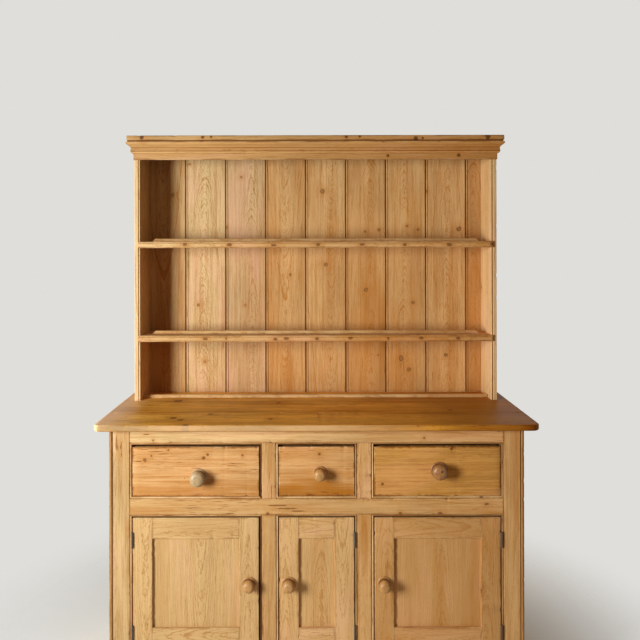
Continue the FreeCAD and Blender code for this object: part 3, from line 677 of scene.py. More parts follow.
def rackSide(name, outward, tone):
    ways = rackWays
    rebateFront = rackBack + ways["backBoard"]
    rebated = rackInner + ways["backRebate"]
    bead, floor = ways["bead"], rackFront - ways["quirkDepth"]
    quirk = rackInner + bead + ways["quirk"]
    # The quirk beside the bead is darkened: grime and painted shade
    section = [
        (rackBack, rebated), (rackBack, rackOuter), (rackFront, rackOuter, -0.4),
        (rackFront, quirk, -0.4), (floor, quirk, 0.5), (floor, rackInner + bead, 0.5),
        *arc(floor, rackInner + bead / 2, bead / 2, 90, -90)[1:-1],
        (floor, rackInner), (rebateFront, rackInner), (rebateFront, rebated),
    ]
    piece = newPiece(name)
    plank(piece, "z -y " + outward, (rackLow[2], rackHigh[2]), section, heart=(20, 40), dents=9,
          tone=tone)
    makeObject(piece, "rack")


# The left side is toned darker and less honey coloured than the right: partly the pine's own
# colour, partly painted light
rackSide("rack_side_left", "-x", (-0.05, -0.1, -0.4))
rackSide("rack_side_right", "x", (0.08, 0, 0.08))

boardWays = {
    "tongue": 6.0, "tongueHalf": 2.0, "play": 0.4,
    "jointGap": 2.0,        # between the shoulders of two boards
    "nailRoom": 0.3,        # how far the boards' backs stand in, for the nail heads
    "lean": 2.2,            # the slope from the joint up to the bead
    "bead": 6.2, "quirk": 1.4, "depth": 2.6,
    "arris": 1.2,           # the eased edge of a board that has no bead
    "footTone": (0.05, 0.0, 0.22),      # what a board's foot adds to the tone of its top
    "heartSide": 0.15, "heartDepth": (26, 44),
}


def beadedBoards(name, tones, finish, beaded=True):
    # Tongued and grooved boards, each with a bead and a quirk beside its left edge
    ways = boardWays
    piece = newPiece(name)
    rng = Random(name + "Hearts")
    solids = cadSolids(name)
    tongue, half, play = ways["tongue"], ways["tongueHalf"], ways["play"]
    bead, quirk, depth = ways["bead"], ways["quirk"], ways["depth"]
    for i, (low, high) in enumerate(solids):
        left, right = low[0], high[0] - (tongue if i < len(solids) - 1 else 0)
        back, front = -high[1] + ways["nailRoom"], -low[1]
        middle = (back + front) / 2
        section = [(left, back), (right, back)]
        if i < len(solids) - 1:
            section += [(right, middle - half), (right + tongue, middle - half),
                        (right + tongue, middle + half), (right, middle + half)]
        # The joint's chamfer is darkened near to black, the slope up to the bead and the quirk
        # less: grime and painted shade in the joint
        section += [(right, front - 3.4, 1), (right - 0.4, front - 0.8, 0.8),
                    (right - 0.8, front, 0.35)]
        if i > 0 and beaded:
            start = left + ways["lean"]
            section += [(start + bead + quirk, front, 0),
                        (start + bead + quirk - 0.4, front - depth, 0.25),
                        (start + bead, front - depth, 0.25),
                        *arc(start + bead / 2, front - bead / 2, bead / 2, 0, 180)[1:-1],
                        (start, front - depth - 0.2, 0.7), (left, front - depth - 1.2, 0.8)]
        elif i > 0:
            section += [(left + ways["arris"], front), (left, front - ways["arris"], 0.5)]
        else:
            section += [(left, front)]
        if i > 0:
            root = left + tongue - ways["jointGap"] + play
            section += [(left, middle + half + play), (root, middle + half + play),
                        (root, middle - half - play), (left, middle - half - play)]
        top = tones[i % len(tones)]
        aside = rng.uniform(-ways["heartSide"], ways["heartSide"]) * (right - left)
        plank(piece, "z x -y", (low[2], high[2]), section, corner=0.4, wear=0.1,
              tone=[a + b for a, b in zip(top, ways["footTone"])], endTone=top,
              heart=(aside, rng.uniform(*ways["heartDepth"])))
    makeObject(piece, finish)


# The boards grow lighter and more honey coloured towards the right: partly the pine's own colour,
# partly painted light, as the lamp stands nearer the left
beadedBoards("rack_back_boards", [
    (-0.1, -0.3, 0.2), (-0.15, 0, -0.15), (-0.18, 0.1, 0), (-0.1, -0.35, 0.3),
    (-0.04, -0.35, 0.27), (-0.04, -0.35, 0.42), (0.01, -0.35, 0.32), (0.02, -0.35, 0.22),
    (-0.08, -0.35, 0.52)], "back")


def shelfAndNosing(level, nosingTone):
    boardPiece(level + "_shelf", "rack", "rack_pine", "x -y z", wear=0.1,
               tone=(0, 0, 0.2), endTone=(0, 0, 0.35))
    piece = newPiece(level + "_shelf_nosing")
    low, high = cadBox(piece["name"])
    back, tip = -high[1], -low[1]
    flat = back + rackWays["nosingFlat"]
    z0, z1 = low[2], high[2]
    reach, rise = tip - flat, (z1 - z0) / 2
    # A half round with a shallow darkened groove along its upper side
    section = [(z0, back)]
    steps, groove, grooveDepth = 14, 9, 0.55
    for i in range(steps + 1):
        turn = math.pi * i / steps
        dip, dirt = (grooveDepth, 0.35) if i == groove else (0, 0)
        section.append((z0 + rise - rise * math.cos(turn), flat + (reach - dip) * math.sin(turn),
                        dirt))
    section.append((z1, back))
    bend = rackWays["nosingEnd"]

    def roundEnd(t, d):
        past = max(0.0, bend - (tip - d))
        return bend - math.sqrt(bend * bend - past * past)

    plank(piece, "x z -y", (low[0], high[0]), section, trims=(roundEnd, roundEnd), dents=26,
          ringGap=30, wear=0.5, corner=0.6, tone=nosingTone, endTone=(0.1, -0.1, 0.6))
    makeObject(piece, "nosing")


def plateRails(name, boxes, bevelled):
    piece = newPiece(name)
    curve = rackWays["railRound"]
    for low, high in boxes:
        back, front = -high[1], -low[1]
        z0, z1 = low[2], high[2]
        section = [(z0, back), (z0, front), *arc(z1 - curve, front - curve, curve, 90, 0, 4),
                   (z1, back)]
        slope = (lambda t, d: t - z0) if bevelled else None
        plank(piece, "x z -y", (low[0], high[0]), section, trims=(slope, slope), dents=10,
              wear=0.4, tone=(0, -0.1, 0.15), endTone=(0, -0.1, 0.35))
    makeObject(piece, "rack")


# Shelves, nosings and plate rails grow more honey coloured towards their right ends, the nosings
# lighter too: partly the pine's own colour, partly painted light
shelfAndNosing("upper", (-0.06, 0, 0.05))
shelfAndNosing("lower", (-0.06, 0, 0.3))
plateRails("shelf_plate_rails", cadSolids("shelf_plate_rails"), True)
plateRails("worktop_plate_rail", [cadBox("worktop_plate_rail")], False)

# Height above the moulding's foot and reach before the fascia, with grime and painted shade in its
# hollows
corniceProfile = [
    (0, 0), (1.2, 3.4), (3.6, 6.6), (6.6, 8.4), (9.5, 8.7, 0.6), (11.5, 8.4, 0.15),
    (20.3, 7.3, 0.2), (22.2, 7.9, 0.5), (25.0, 9.8), (27.6, 12.4), (29.6, 15.4), (31.8, 18.6),
    (34.0, 20.8), (36.3, 22.0), (42.0, 22.0), (42.0, 0),
]


def cornice():
    # The fascia, moulding and cap are toned darker at the left and lighter and more honey coloured
    # at the right: partly the pine's own colour, partly painted light
    boardPiece("cornice_fascia", "cornice", "cornice_pine", "x z -y", corner=1.5, dents=8,
               heart=(10, 60), tone=(-0.14, 0, 0.05), endTone=(-0.12, -0.1, 0.6))
    fasciaLow, fasciaHigh = cadBox("cornice_fascia")
    low, high = cadBox("cornice_moulding")
    piece = newPiece("cornice_moulding")
    profile = [(low[2] + p[0], *p[1:]) for p in corniceProfile]
    worn = {"corner": 0.5, "wear": 0.25}
    mitredMoulding(piece, piece, profile, -fasciaLow[1], fasciaHigh[0], -high[1], returnWays=worn,
                   frontWays={**worn, "dents": 6, "tone": (-0.03, -0.1, -0.2),
                              "endTone": (0.03, -0.1, 0.6)})
    makeObject(piece, "cornice")

    # The cap board: a narrower neck below a rounded lip, with painted shade on the neck and along
    # the lip's underside
    low, high = cadBox("cornice_cap")
    shy, lip = rackWays["capShy"], low[2] + rackWays["capNeck"]
    piece = newPiece("cornice_cap")
    boxBoard(piece, (low[0] + shy, low[1] + shy, low[2]), (high[0] - shy, high[1], lip), "x -y z",
             corner=0.8, wear=0.1, matched="capBoard", soil=lambda length, t, d: 0.6)
    boxBoard(piece, (low[0], low[1], lip), high, "x -y z", corner=4.0, endCorner=3.0,
             dents=12, wear=0.5, ringGap=35, matched="capBoard",
             tone=(-0.18, 0, -0.1), endTone=(-0.07, -0.1, 0.4),
             soil=lambda length, t, d: 0.4 if d < lip + 1.5 else 0)
    makeObject(piece, "cornice")


cornice()
print("plate rack made")


worktopWays = {
    "boards": 3, "cornerRadius": 26.0, "edgeRadius": 5.0, "gap": 0.35,
    "tones": ((0.32, 0.0, 0.0), (0.24, 0.0, 0.1), (0.2, 0.0, 0.0)),     # from the front board
    # Painted light and shade on the front edge and on the top, from left to right: darker at the
    # left, where the lamp stands near
    "edgePaintedShade": ((-560, -0.56), (-420, -0.22), (-145, -0.15), (-60, 0)),
    # The top's: a painted reflection at its very left end, and a lighter stretch right of the
    # middle
    "topPaintedLight": ((-676, 0.48), (-600, -0.05), (-380, -0.05), (-120, 0.06), (-20, 0.17),
                  (330, 0.2), (450, 0)),
    "edgeDepth": 2.5,       # how far behind the front a point still belongs to the front edge
    "underDepth": 6.0, "underPaintedShade": 0.4,        # painted shade below the front edge
    "edgeGrimeAndShade": 0.22, "cornerGrimeAndShade": 0.45, "cornerFrom": 40.0,   # grime and painted shade on it, most at the right corner
    "edgeLightShadeAndGrime": (-0.8, 1.75, 1.25),    # painted pale as lit at the middle and left of it, its gain by the right end, its curve
    "paintedReflectionFrom": 1.35, "paintedReflectionFall": 0.0125,       # a painted reflection on the top at its left end, less per mm
    "lessHoney": 0.8, "lessFrom": -200,         # where the top is painted lighter it is also less honey coloured
    "leftCut": 110, "cutBeside": 1.5,
}


def between(steps, place):
    # The value at a place on a line of (place, value) steps
    for (a, first), (b, last) in zip(steps, steps[1:]):
        if place < b:
            return first + (last - first) * max(0, (place - a) / (b - a))
    return steps[-1][1]


def worktop():
    ways = worktopWays
    low, high = cadBox("worktop")
    piece = newPiece("worktop")
    depth = (high[1] - low[1]) / ways["boards"]
    for i in range(ways["boards"]):
        front = -(low[1] + i * depth)
        back = front - depth + ways["gap"]

        def roundRim(bm):
            def flatTo(edge, axis, value):
                return all(abs(v.co[axis] - value) < 0.01 for v in edge.verts)

            def rise(edge):
                return abs(edge.verts[0].co.z - edge.verts[1].co.z)

            if i == 0:
                uprights = [e for e in bm.edges if flatTo(e, 1, front) and rise(e) > 5]
                bmesh.ops.bevel(bm, geom=uprights, offset=ways["cornerRadius"], segments=8,
                                profile=0.5, affect="EDGES")
            seams = [back] if i == 0 else [back, front]
            rims = [e for e in bm.edges
                    if rise(e) <= 0.01 and not any(flatTo(e, 1, seam) for seam in seams)]
            bmesh.ops.bevel(bm, geom=rims, offset=ways["edgeRadius"], segments=4, profile=0.5,
                            affect="EDGES", clamp_overlap=True)

        def onEdge(t, d):
            return t > -low[1] - ways["edgeDepth"] and d < high[2] - 1

        def wearAndPaintedLight(length, t, d):
            # The front edge is painted pale at its left and darker towards its right, with grime,
            # and painted shade underneath
            if t > -low[1] - ways["underDepth"] and d < low[2] + ways["edgeDepth"]:
                return ways["underPaintedShade"]
            if onEdge(t, d):
                atCorner = length > high[0] - ways["cornerFrom"]
                most = ways["cornerGrimeAndShade"] if atCorner else ways["edgeGrimeAndShade"]
                start, gain, curve = ways["edgeLightShadeAndGrime"]
                return min(most, gain * max(0, length / high[0]) ** curve + start)
            # The top's left end is painted pale, a painted reflection
            return -max(0, min(1, ways["paintedReflectionFrom"] - ways["paintedReflectionFall"] * (length - low[0])))

        def paintedLightAlong(length, t, d):
            # Painted light and shade, added to the tone, along the front edge and along the top
            if onEdge(t, d):
                return between(ways["edgePaintedShade"], length), 0, 0
            light = between(ways["topPaintedLight"], length)
            less = ways["lessHoney"] if length > ways["lessFrom"] else 0
            return light, 0, -less * max(0, light)

        beside = ways["edgeRadius"] + ways["cutBeside"]
        cuts = ((0, low[0] + beside), (0, low[0] + ways["leftCut"]), (0, high[0] - beside),
                (1, front - beside), (1, back + ways["cutBeside"]))
        plank(piece, "x -y z", (low[0], high[0]), rect(back, front, low[2], high[2]), corner=0,
              shape=roundRim, ringGap=45, dents=22 if i == 0 else 0, wear=0.5 if i == 0 else 0.1,
              tone=ways["tones"][i], endTone=(-0.06, -0.1, 0.9), soil=wearAndPaintedLight, shade=paintedLightAlong,
              cuts=cuts)
    makeObject(piece, "worktop")


worktop()


def plainBoards(name):
    piece = newPiece(name)
    for low, high in cadSolids(name):
        boxBoard(piece, low, high)
    makeObject(piece, "inner")


baseSideWays = {"joints": (165, 300), "gap": 0.3, "rebate": 10.0,
                "tones": ((0.02, 0.0, 0.0), (-0.04, 0.05, 0.1), (0.0, -0.05, 0.0))}


def baseSide(name, outward):
    # Three boards glued edge to edge, the last with a rebate for the back boards
    ways = baseSideWays
    low, high = cadBox("base_side_right")
    piece = newPiece(name)
    front, back = -low[1], -high[1]
    edges = [front, *(front - joint for joint in ways["joints"]), back]
    for i, tone in enumerate(ways["tones"]):
        start, end = edges[i], edges[i + 1]
        if end == back:
            rebate, ledge = back + rackWays["backBoard"], low[0] + ways["rebate"]
            section = [(back, ledge), (back, high[0]), (start, high[0]), (start, low[0]),
                       (rebate, low[0]), (rebate, ledge)]
        else:
            section = rect(end + ways["gap"], start, low[0], high[0])
        plank(piece, "z -y " + outward, (low[2], high[2]), section, corner=0.6, wear=0.15,
              tone=tone)
    makeObject(piece, "rack")


baseSide("base_side_left", "-x")
baseSide("base_side_right", "x")
for boards in ("bottom_board", "cupboard_shelf", "shelf_bearers", "back_rails",
               "drawer_kickers", "stop_blocks"):
    plainBoards(boards)
beadedBoards("base_back_boards", [
    (0, 0, 0), (-0.05, 0.1, 0.1), (0.03, 0, 0), (0, 0.1, 0.05), (-0.03, 0, 0)],
    "inner", False)

runnerWays = {"ledge": 24.0, "thickness": 20.0}


def drawerRunners():
    # A ledge that the drawers run on, with a guide along its middle or its outer side
    piece = newPiece("drawer_runners")
    ledge = runnerWays["ledge"]
    solids = cadSolids("drawer_runners")
    for i, (low, high) in enumerate(solids):
        left = low[0] + (ledge if i > 0 else 0)
        right = high[0] - (ledge if i < len(solids) - 1 else 0)
        top = low[2] + runnerWays["thickness"]
        boxBoard(piece, low, (high[0], high[1], top), "y x z")
        boxBoard(piece, (left, low[1], top), (right, high[1], high[2]), "y x z")
    makeObject(piece, "inner")


drawerRunners()


frameWays = {
    "bead": 6.0, "quirk": 1.4, "depth": 3.0,            # the bead round each opening
    "cornerBead": 12.0, "cornerQuirk": 1.8,             # the bead on the outer corners
    "stile": 74.0, "muntin": 60.0, "centreOpening": 244.0,
    # How far an opening reaches below a drawer's foot and above it, and beyond a door
    "drawerPlay": 0.5, "drawerOpening": 163.5, "doorPlay": 2.5,
    # Stiles and rails are toned darker at the left and lighter and more honey coloured at the
    # right: partly the pine's own colour, partly painted light, as the lamp stands nearer the left
    "stileTones": ((-0.2, 0, -0.1), (0.1, -0.1, 0.35)),
    "railTones": {"top_rail": (-0.19, -0.05, -0.12), "middle_rail": (-0.13, -0.2, 0.3),
                  "bottom_rail": (-0.19, -0.05, -0.12)},
}


def faceFrame():
    ways = frameWays
    pieces = {name: newPiece(name) for name in (
        "frame_stile_left", "frame_stile_right", "frame_muntins", "top_rail", "middle_rail",
        "bottom_rail")}
    low, high = cadBox("frame_stile_right")
    outer, top, foot = high[0], high[2], low[2]
    face, back = -low[1], -high[1]
    inner = outer - ways["stile"]
    centre = ways["centreOpening"] / 2
    muntinOuter = centre + ways["muntin"]
    columns = [(-inner, -muntinOuter), (-centre, centre), (muntinOuter, inner)]
    bottomLow = cadBox("bottom_rail")[0][2]
    bead, quirk, depth = ways["bead"], ways["quirk"], ways["depth"]
    ring = bead + quirk
    drawerLow = cadBox("drawer_left_front")[0][2]
    drawerFoot, drawerTop = drawerLow - ways["drawerPlay"], drawerLow + ways["drawerOpening"]
    doorLow, doorHigh = cadBox("door_left_stiles")
    doorFoot, doorTop = doorLow[2] - ways["doorPlay"], doorHigh[2] + ways["doorPlay"]

    # Stiles, with a bead along the outer corner, its quirk darkened with grime and painted shade
    cb, cq, groove = ways["cornerBead"], ways["cornerQuirk"], face - depth - 1
    for side, name, tone in zip((-1, 1), list(pieces)[:2], ways["stileTones"]):
        edge, rim = inner + ring, outer - cb
        section = [(edge, back), (outer, back), (outer, face - cb / 2, 0.2),
                   *arc(outer - cb / 2, face - cb / 2, cb / 2, 0, 180, 8, 0.3)[1:-1],
                   (rim, groove, 0.55), (rim - cq, groove, 0.55), (rim - cq, face), (edge, face)]
        section = [(side * p[0], *p[1:]) for p in section]
        plank(pieces[name], "z x -y", (foot, top), section, corner=0.7, dents=16, ringGap=50,
              heart=(side * 24, 30), wear=0.45, tone=tone)

    # Rails from stile to stile, between the beads
    end = inner + ring
    for name, z0, z1 in (("top_rail", drawerTop + ring, top),
                         ("middle_rail", doorTop + ring, drawerFoot - ring),
                         ("bottom_rail", bottomLow, doorFoot - ring)):
        # Each rail drifts lighter and more honey coloured towards its right end: partly painted
        # light
        plank(pieces[name], "x z -y", (-end, end), rect(z0, z1, back, face),
              corner=0.7, dents=12, ringGap=50, wear=0.35, heart=(38, 30),
              cuts=((0, 2 - inner - ring), (0, end - 2)),
              soil=lambda length, t, d: 0.8 if abs(length) > end - 1.5 else 0,
              tone=ways["railTones"][name], endTone=(0.14, -0.1, 0.44))

    # Muntins, let into the rails' beads
    for side in (-1, 1):
        a, b = sorted((side * (centre + ring), side * (muntinOuter - ring)))
        for z0, z1 in ((drawerFoot, drawerTop), (doorFoot, doorTop)):
            plank(pieces["frame_muntins"], "z x -y", (z0 - ring, z1 + ring),
                  rect(a, b, back, face), corner=0.8, endCorner=0.6, dents=6, ringGap=50,
                  wear=0.35, tone=(0.01 + 0.05 * side, 0.0, 0.38))

    # The mitred bead round each opening, worked on the piece that it belongs to. inside is how
    # dark the bead is painted beside the opening, painted shade in the gap with grime, and groove
    # how dark the quirk behind it is, grime and painted shade
    def beadStrip(name, lie, ends, edge, side, inside, groove):
        rounding = arc(bead / 2, face - bead / 2, bead / 2, 180, 0)[1:-1]
        section = [(0, back, inside), (0, face - bead / 2, inside),
                   *((t, d, max(0, inside - 0.25 * t)) for t, d, dirt in rounding),
                   (bead, face - depth, groove), (ring, face - depth, groove), (ring, back)]
        section = [(edge + side * p[0], *p[1:]) for p in section]
        mitre = lambda t, d: -abs(t - edge)
        plank(pieces[name], lie, ends, section, corner=0.3, trims=(mitre, mitre), wear=0.25,
              dents=5, dentSize=(3, 6), dentDepth=(0.3, 0.8))

    for z0, z1, above, below in ((drawerFoot, drawerTop, "top_rail", "middle_rail"),
                                 (doorFoot, doorTop, "middle_rail", "bottom_rail")):
        for i, (x0, x1) in enumerate(columns):
            left = "frame_stile_left" if i == 0 else "frame_muntins"
            right = "frame_stile_right" if i == 2 else "frame_muntins"
            beadStrip(above, "x z -y", (x0, x1), z1, 1, 1.4, 0.35)
            beadStrip(below, "x z -y", (x0, x1), z0, -1, 0.2, 0.35)
            beadStrip(left, "z x -y", (z0, z1), x0, -1, 0.3, 0.8)
            # The bead to the right of the left drawer and door is painted darkest: their painted
            # cast shadow, with grime
            beadStrip(right, "z x -y", (z0, z1), x1, 1, 1.6 if i == 0 else 0.8, 0.7)
    for piece in pieces.values():
        makeObject(piece, "frame")


faceFrame()

plinthWays = {"chamfer": 6.0, "thickness": 15.0}


def plinth():
    low, high = cadBox("plinth_front")
    chamfer, thick = plinthWays["chamfer"], plinthWays["thickness"]
    profile = [(0, 0), (0, thick), (high[2] - chamfer, thick), (high[2], thick - chamfer),
               (high[2], 0)]
    front, returns = newPiece("plinth_front"), newPiece("plinth_returns")
    mitredMoulding(front, returns, profile, -low[1] - thick, high[0] - thick,
                   -cadBox("plinth_returns")[1][1], {"corner": 1.0, "dents": 14},
                   {"corner": 1.0, "dents": 5})
    for piece in (front, returns):
        makeObject(piece, "frame")


plinth()
print("base made")


# Turned across a lathe and waxed, a knob's end grain faces the room as fine arcs
knobLooks = {
    "roughness": (0.42, 0.30), "relief": 0.12, "specular": 0.35, "ringWidth": 0.0026,
    "swirl": 0.003, "taper": 0.0, "knotShare": 0.0, "wearAmount": 0.0, "grimeAmount": 0.0,
    "scars": 0.3, "streak": 0.3,
}
knobWoods = {
    "Sycamore": {"light": "#b5966e", "dark": "#7d6038", "blush": "#a98c66", "fibre": 0.8,
                 "mottle": 0.7, "dash": 0.8},
    "Pine": {"light": "#bd8c54", "dark": "#80501f", "blush": "#b07848", "dash": 0.8},
    "Beech": {"light": "#a8703a", "dark": "#43210d", "blush": "#7a4a20", "knot": "#2e170a",
              "knots": [(392.5, 715, 3.2)], "relief": 0.3, "specular": 0.5, "streak": 0.9,
              "fibre": 0.9, "mottle": 0.9},
}
for wood, looks in knobWoods.items():
    finishes[wood] = pine("turned" + wood + "Knob", **{**knobLooks, **looks})
knobShapes = {
    "large": {"flange": 27.0, "thick": 5.0, "neck": 19.0, "wide": 5.0, "bulb": 25.0},
    "small": {"flange": 23.0, "thick": 4.0, "neck": 14.0, "wide": 5.0, "bulb": 19.5},
}
knobWays = {
    "spigot": 3.0,                          # how far it goes into the wood behind
    "around": 40, "steps": 13,              # points round it, and along its bulb
    "startTurn": -62, "sweep": 152,         # degrees round the bulb, from neck to tip
    "middle": 0.46,                         # how far out along the bulb it is widest
    "tilt": 0.02, "heartSide": 30, "heartDepth": (25, 60),
}


def turnedKnob(body, face, size, wood):
    ways, shape = knobWays, knobShapes[size]
    piece = newPiece(body + "_knob")
    low, high = cadBox(piece["name"])
    x, z = (low[0] + high[0]) / 2, (low[2] + high[2]) / 2
    flange, thick, neck, wide, bulb = shape.values()
    base = thick + wide
    rest = face - low[1] - base
    # Radius, reach before the face, and grime with painted shade in the neck and where the flange
    # meets the wood, from the spigot to the tip
    outline = [
        (0.0, -ways["spigot"], 0), (flange - 2.0, -ways["spigot"], 0), (flange - 1.0, 0.2, 0.5),
        (flange, 1.4, 0), (flange - 0.3, thick - 1.6, 0), (flange - 1.6, thick - 0.4, 0),
        (flange - 3.4, thick, 0.2), (neck + 1.4, thick + 0.5, 0.55),
        (neck, thick + wide * 0.5, 0.6), (neck + 0.9, base - 0.4, 0.45),
    ]
    for i in range(1, ways["steps"] + 1):
        turn = math.radians(ways["startTurn"] + i * ways["sweep"] / ways["steps"])
        outline.append((bulb * math.cos(turn) ** (0.62 if turn > 0 else 0.8),
                        base + rest * (ways["middle"] + (1 - ways["middle"]) * math.sin(turn)), 0))
    rng = piece["random"]
    tilt, aside = ways["tilt"], ways["heartSide"]
    tiltX, tiltZ = rng.uniform(-tilt, tilt), rng.uniform(-tilt, tilt)
    heartX, heartZ = rng.uniform(-aside, aside), rng.uniform(*ways["heartDepth"])
    drift = rng.uniform(0, 40)
    rings = []
    for radius, out, dirt in outline:
        count = ways["around"] if radius > 0.2 else 1
        first = len(piece["points"])
        rings.append([first + i * (count > 1) for i in range(ways["around"])])
        for i in range(count):
            turn = 2 * math.pi * i / ways["around"]
            dx, dz = radius * math.cos(turn), radius * math.sin(turn)
            point = Vector((x + dx + tiltX * out, face - out, z + dz + tiltZ * out))
            addPoint(piece, points=point * mm, place=(0, 0, 0), half=(1, 1, 1), tone=(0, 0, 0),
                     grain=(out * mm + drift, (dx - heartX) * mm, (dz - heartZ) * mm), dirt=dirt)
    for a, b in zip(rings, rings[1:]):
        for i in range(ways["around"]):
            j = (i + 1) % ways["around"]
            piece["faces"].append(tuple(dict.fromkeys((a[i], b[i], b[j], a[j]))))
    makeObject(piece, wood, body)


drawerWays = {
    "front": 20.0, "side": 12.0, "bottomRaise": 10.0, "bottom": 8.0, "back": 12.0,
    "backInset": 10.0, "backDrop": 10.0, "backTongue": 3.0,
    "tails": 3, "tailLength": 14.0, "tailRoot": 0.50, "tailTip": 0.68,
    "socketPlay": 0.2, "sidePlay": 0.1,
}


def extruded(bm, corners, place, d0, d1):
    # A flat outline given two faces, d0 and d1 along the third axis, and walls between them
    near, far = ([bm.verts.new(place(*corner, d)) for corner in corners] for d in (d0, d1))
    bm.faces.new(near)
    bm.faces.new(reversed(far))
    for i in range(len(corners)):
        j = (i + 1) % len(corners)
        bm.faces.new((near[j], near[i], far[i], far[j]))
    bmesh.ops.recalc_face_normals(bm, faces=bm.faces)


def cutAway(bm, tool):
    # Cuts one closed shape out of another
    objects = []
    for shape in (bm, tool):
        mesh = bpy.data.meshes.new("cut")
        shape.to_mesh(mesh)
        objects.append(newObject("cut", mesh))
    cut = objects[0].modifiers.new("cut", "BOOLEAN")
    cut.operation, cut.object, cut.solver = "DIFFERENCE", objects[1], "FAST"
    ready = bpy.context.evaluated_depsgraph_get()
    shaped = bpy.data.meshes.new_from_object(objects[0].evaluated_get(ready))
    bm.clear()
    bm.from_mesh(shaped)
    for obj in objects:
        bpy.data.objects.remove(obj)


def drawer(name, size, wood, tone, finish="drawer"):
    ways = drawerWays
    body = "drawer_" + name
    low, high = cadBox(body + "_front")
    rootY = low[1] + ways["front"]
    sideLow, sideHigh = cadBox(body + "_box")
    top, thick, play = sideHigh[2], ways["side"], ways["socketPlay"]
    pitch = (top - low[2]) / ways["tails"]
    # Each dovetail: its middle's height, and half its height at the root and at the tip
    tails = [(low[2] + (i + 0.5) * pitch, ways["tailRoot"] * pitch / 2,
              ways["tailTip"] * pitch / 2) for i in range(ways["tails"])]

    def sockets(bm):
        tool = bmesh.new()
        root, tip = -rootY - 1, -rootY + ways["tailLength"] + play
        for middle, narrow, broad in tails:
            corners = [(middle - narrow, root), (middle - broad, tip), (middle + broad, tip),
                       (middle + narrow, root)]
            for x0, x1 in ((low[0] - 1, low[0] + thick + play),
                           (high[0] - thick - play, high[0] + 1)):
                extruded(tool, corners, lambda t, d, x: (x, t, d), x0, x1)
        cutAway(bm, tool)
        tool.free()

    piece = newPiece(body + "_front")
    boxBoard(piece, low, high, "x z -y", corner=1.6, endCorner=1.4, dents=14, ringGap=40,
             wear=0.6, heart=(95, 40), tone=tone, shape=sockets)
    makeObject(piece, finish, body)

    # Sides with their tails, and the back between them
    tip = rootY - ways["tailLength"]
    corners = [(rootY, low[2])]
    for middle, narrow, broad in tails:
        corners += [(rootY, middle - narrow), (tip, middle - broad), (tip, middle + broad),
                    (rootY, middle + narrow)]
    corners += [(rootY, top), (sideHigh[1], top), (sideHigh[1], low[2])]
    piece = newPiece(body + "_box")
    for x0 in (low[0], high[0] - thick):
        def tailed(bm):
            bm.clear()
            extruded(bm, corners, lambda y, z, x: (y, z, x), x0 + ways["sidePlay"],
                     x0 + thick - ways["sidePlay"])

        boxBoard(piece, (x0, rootY, low[2]), (x0 + thick, sideHigh[1], top), "y z x",
                 shape=tailed, wear=0)
    backY = sideHigh[1] - ways["backInset"]
    bottomZ = low[2] + ways["bottomRaise"]
    backEnd = thick - ways["backTongue"]
    boxBoard(piece, (low[0] + backEnd, backY - ways["back"], bottomZ + ways["bottom"]),
             (high[0] - backEnd, backY, top - ways["backDrop"]), "x z y")
    makeObject(piece, "inner", body)
    boardPiece(body + "_bottom", "inner", "inner_pine", "x y z", body, corner=0.5)
    turnedKnob(body, low[1], size, wood)


drawer("left", "large", "Sycamore", (-0.05, 0.0, 0.17))
drawer("centre", "small", "Pine", (0.0, -0.08, 0.25))
drawer("right", "large", "Beech", (0.02, -0.1, 0.12), "darkDrawer")

doorWays = {"stile": 62.0, "topRail": 66.0, "bottomRail": 86.0, "railPlay": 0.15}


def door(name, tone):
    ways = doorWays
    body = "door_" + name
    low, high = cadBox(body + "_stiles")
    inner0, inner1 = low[0] + ways["stile"], high[0] - ways["stile"]
    piece = newPiece(body + "_stiles")
    for x0, x1 in ((low[0], inner0), (inner1, high[0])):
        boxBoard(piece, (x0, low[1], low[2]), (x1, high[1], high[2]), "z x -y", endCorner=0.8,
                 dents=7, wear=0.4, tone=tone)
    makeObject(piece, "door", body)
    piece = newPiece(body + "_rails")
    for z0, z1 in ((low[2], low[2] + ways["bottomRail"]), (high[2] - ways["topRail"], high[2])):
        boxBoard(piece, (inner0 + ways["railPlay"], low[1], z0),
                 (inner1 - ways["railPlay"], high[1], z1), "x z -y", dents=4, corner=0.9,
                 tone=tone)
    makeObject(piece, "door", body)
    boardPiece(body + "_panel", "door", "door_pine", "z x -y", body, wear=0.1, heart=(15, 30),
               tone=tone)
    turnedKnob(body, low[1], "small", "Pine")


# The doors grow lighter and more honey coloured from left to right: partly the pine's own colour,
# partly painted light
door("left", (-0.12, 0.0, -0.1))
door("centre", (-0.02, 0.0, 0.1))
door("right", (0.02, -0.1, 0.42))
print("drawers and doors made")


ironWays = {"patch": 6.25, "rustFrom": (0.42, 0.68), "roughness": (0.35, 0.8), "relief": 0.1}


def dullIron(name, bright, rusty, metallic=0.75):
    # Old iron, dulled where hands reach it and rusted brown elsewhere, in patches of some mm
    ways = ironWays
    material, tree, shader = newMaterial(name)
    node = partial(addNode, tree)
    place = node("ShaderNodeTexCoord").outputs["Object"]
    rust = node("ShaderNodeTexNoise", {
        "Vector": place, "Scale": 1 / (ways["patch"] * mm), "Detail": 4.0, "Roughness": 0.65})
    patches = node("ShaderNodeMapRange", rust, *ways["rustFrom"])
    mix = node("blend", patches, linear(bright), linear(rusty))
    rough = node("ShaderNodeMapRange", rust, 0.0, 1.0, *ways["roughness"])
    bump = node("ShaderNodeBump", {"Strength": 0.4, "Distance": ways["relief"] * mm,
                                   "Height": rust})
    setInputs(shader, {"Base Color": mix, "Roughness": rough, "Normal": bump,
                       "Metallic": metallic})
    return material


iron = dullIron("castIronHinge", "#5b5753", "#6d4a30")
for nodeName, nodeObject in frame["nodes"].items():
    if "hinge" in nodeName:
        nodeObject.data.materials.clear()
        nodeObject.data.materials.append(iron)

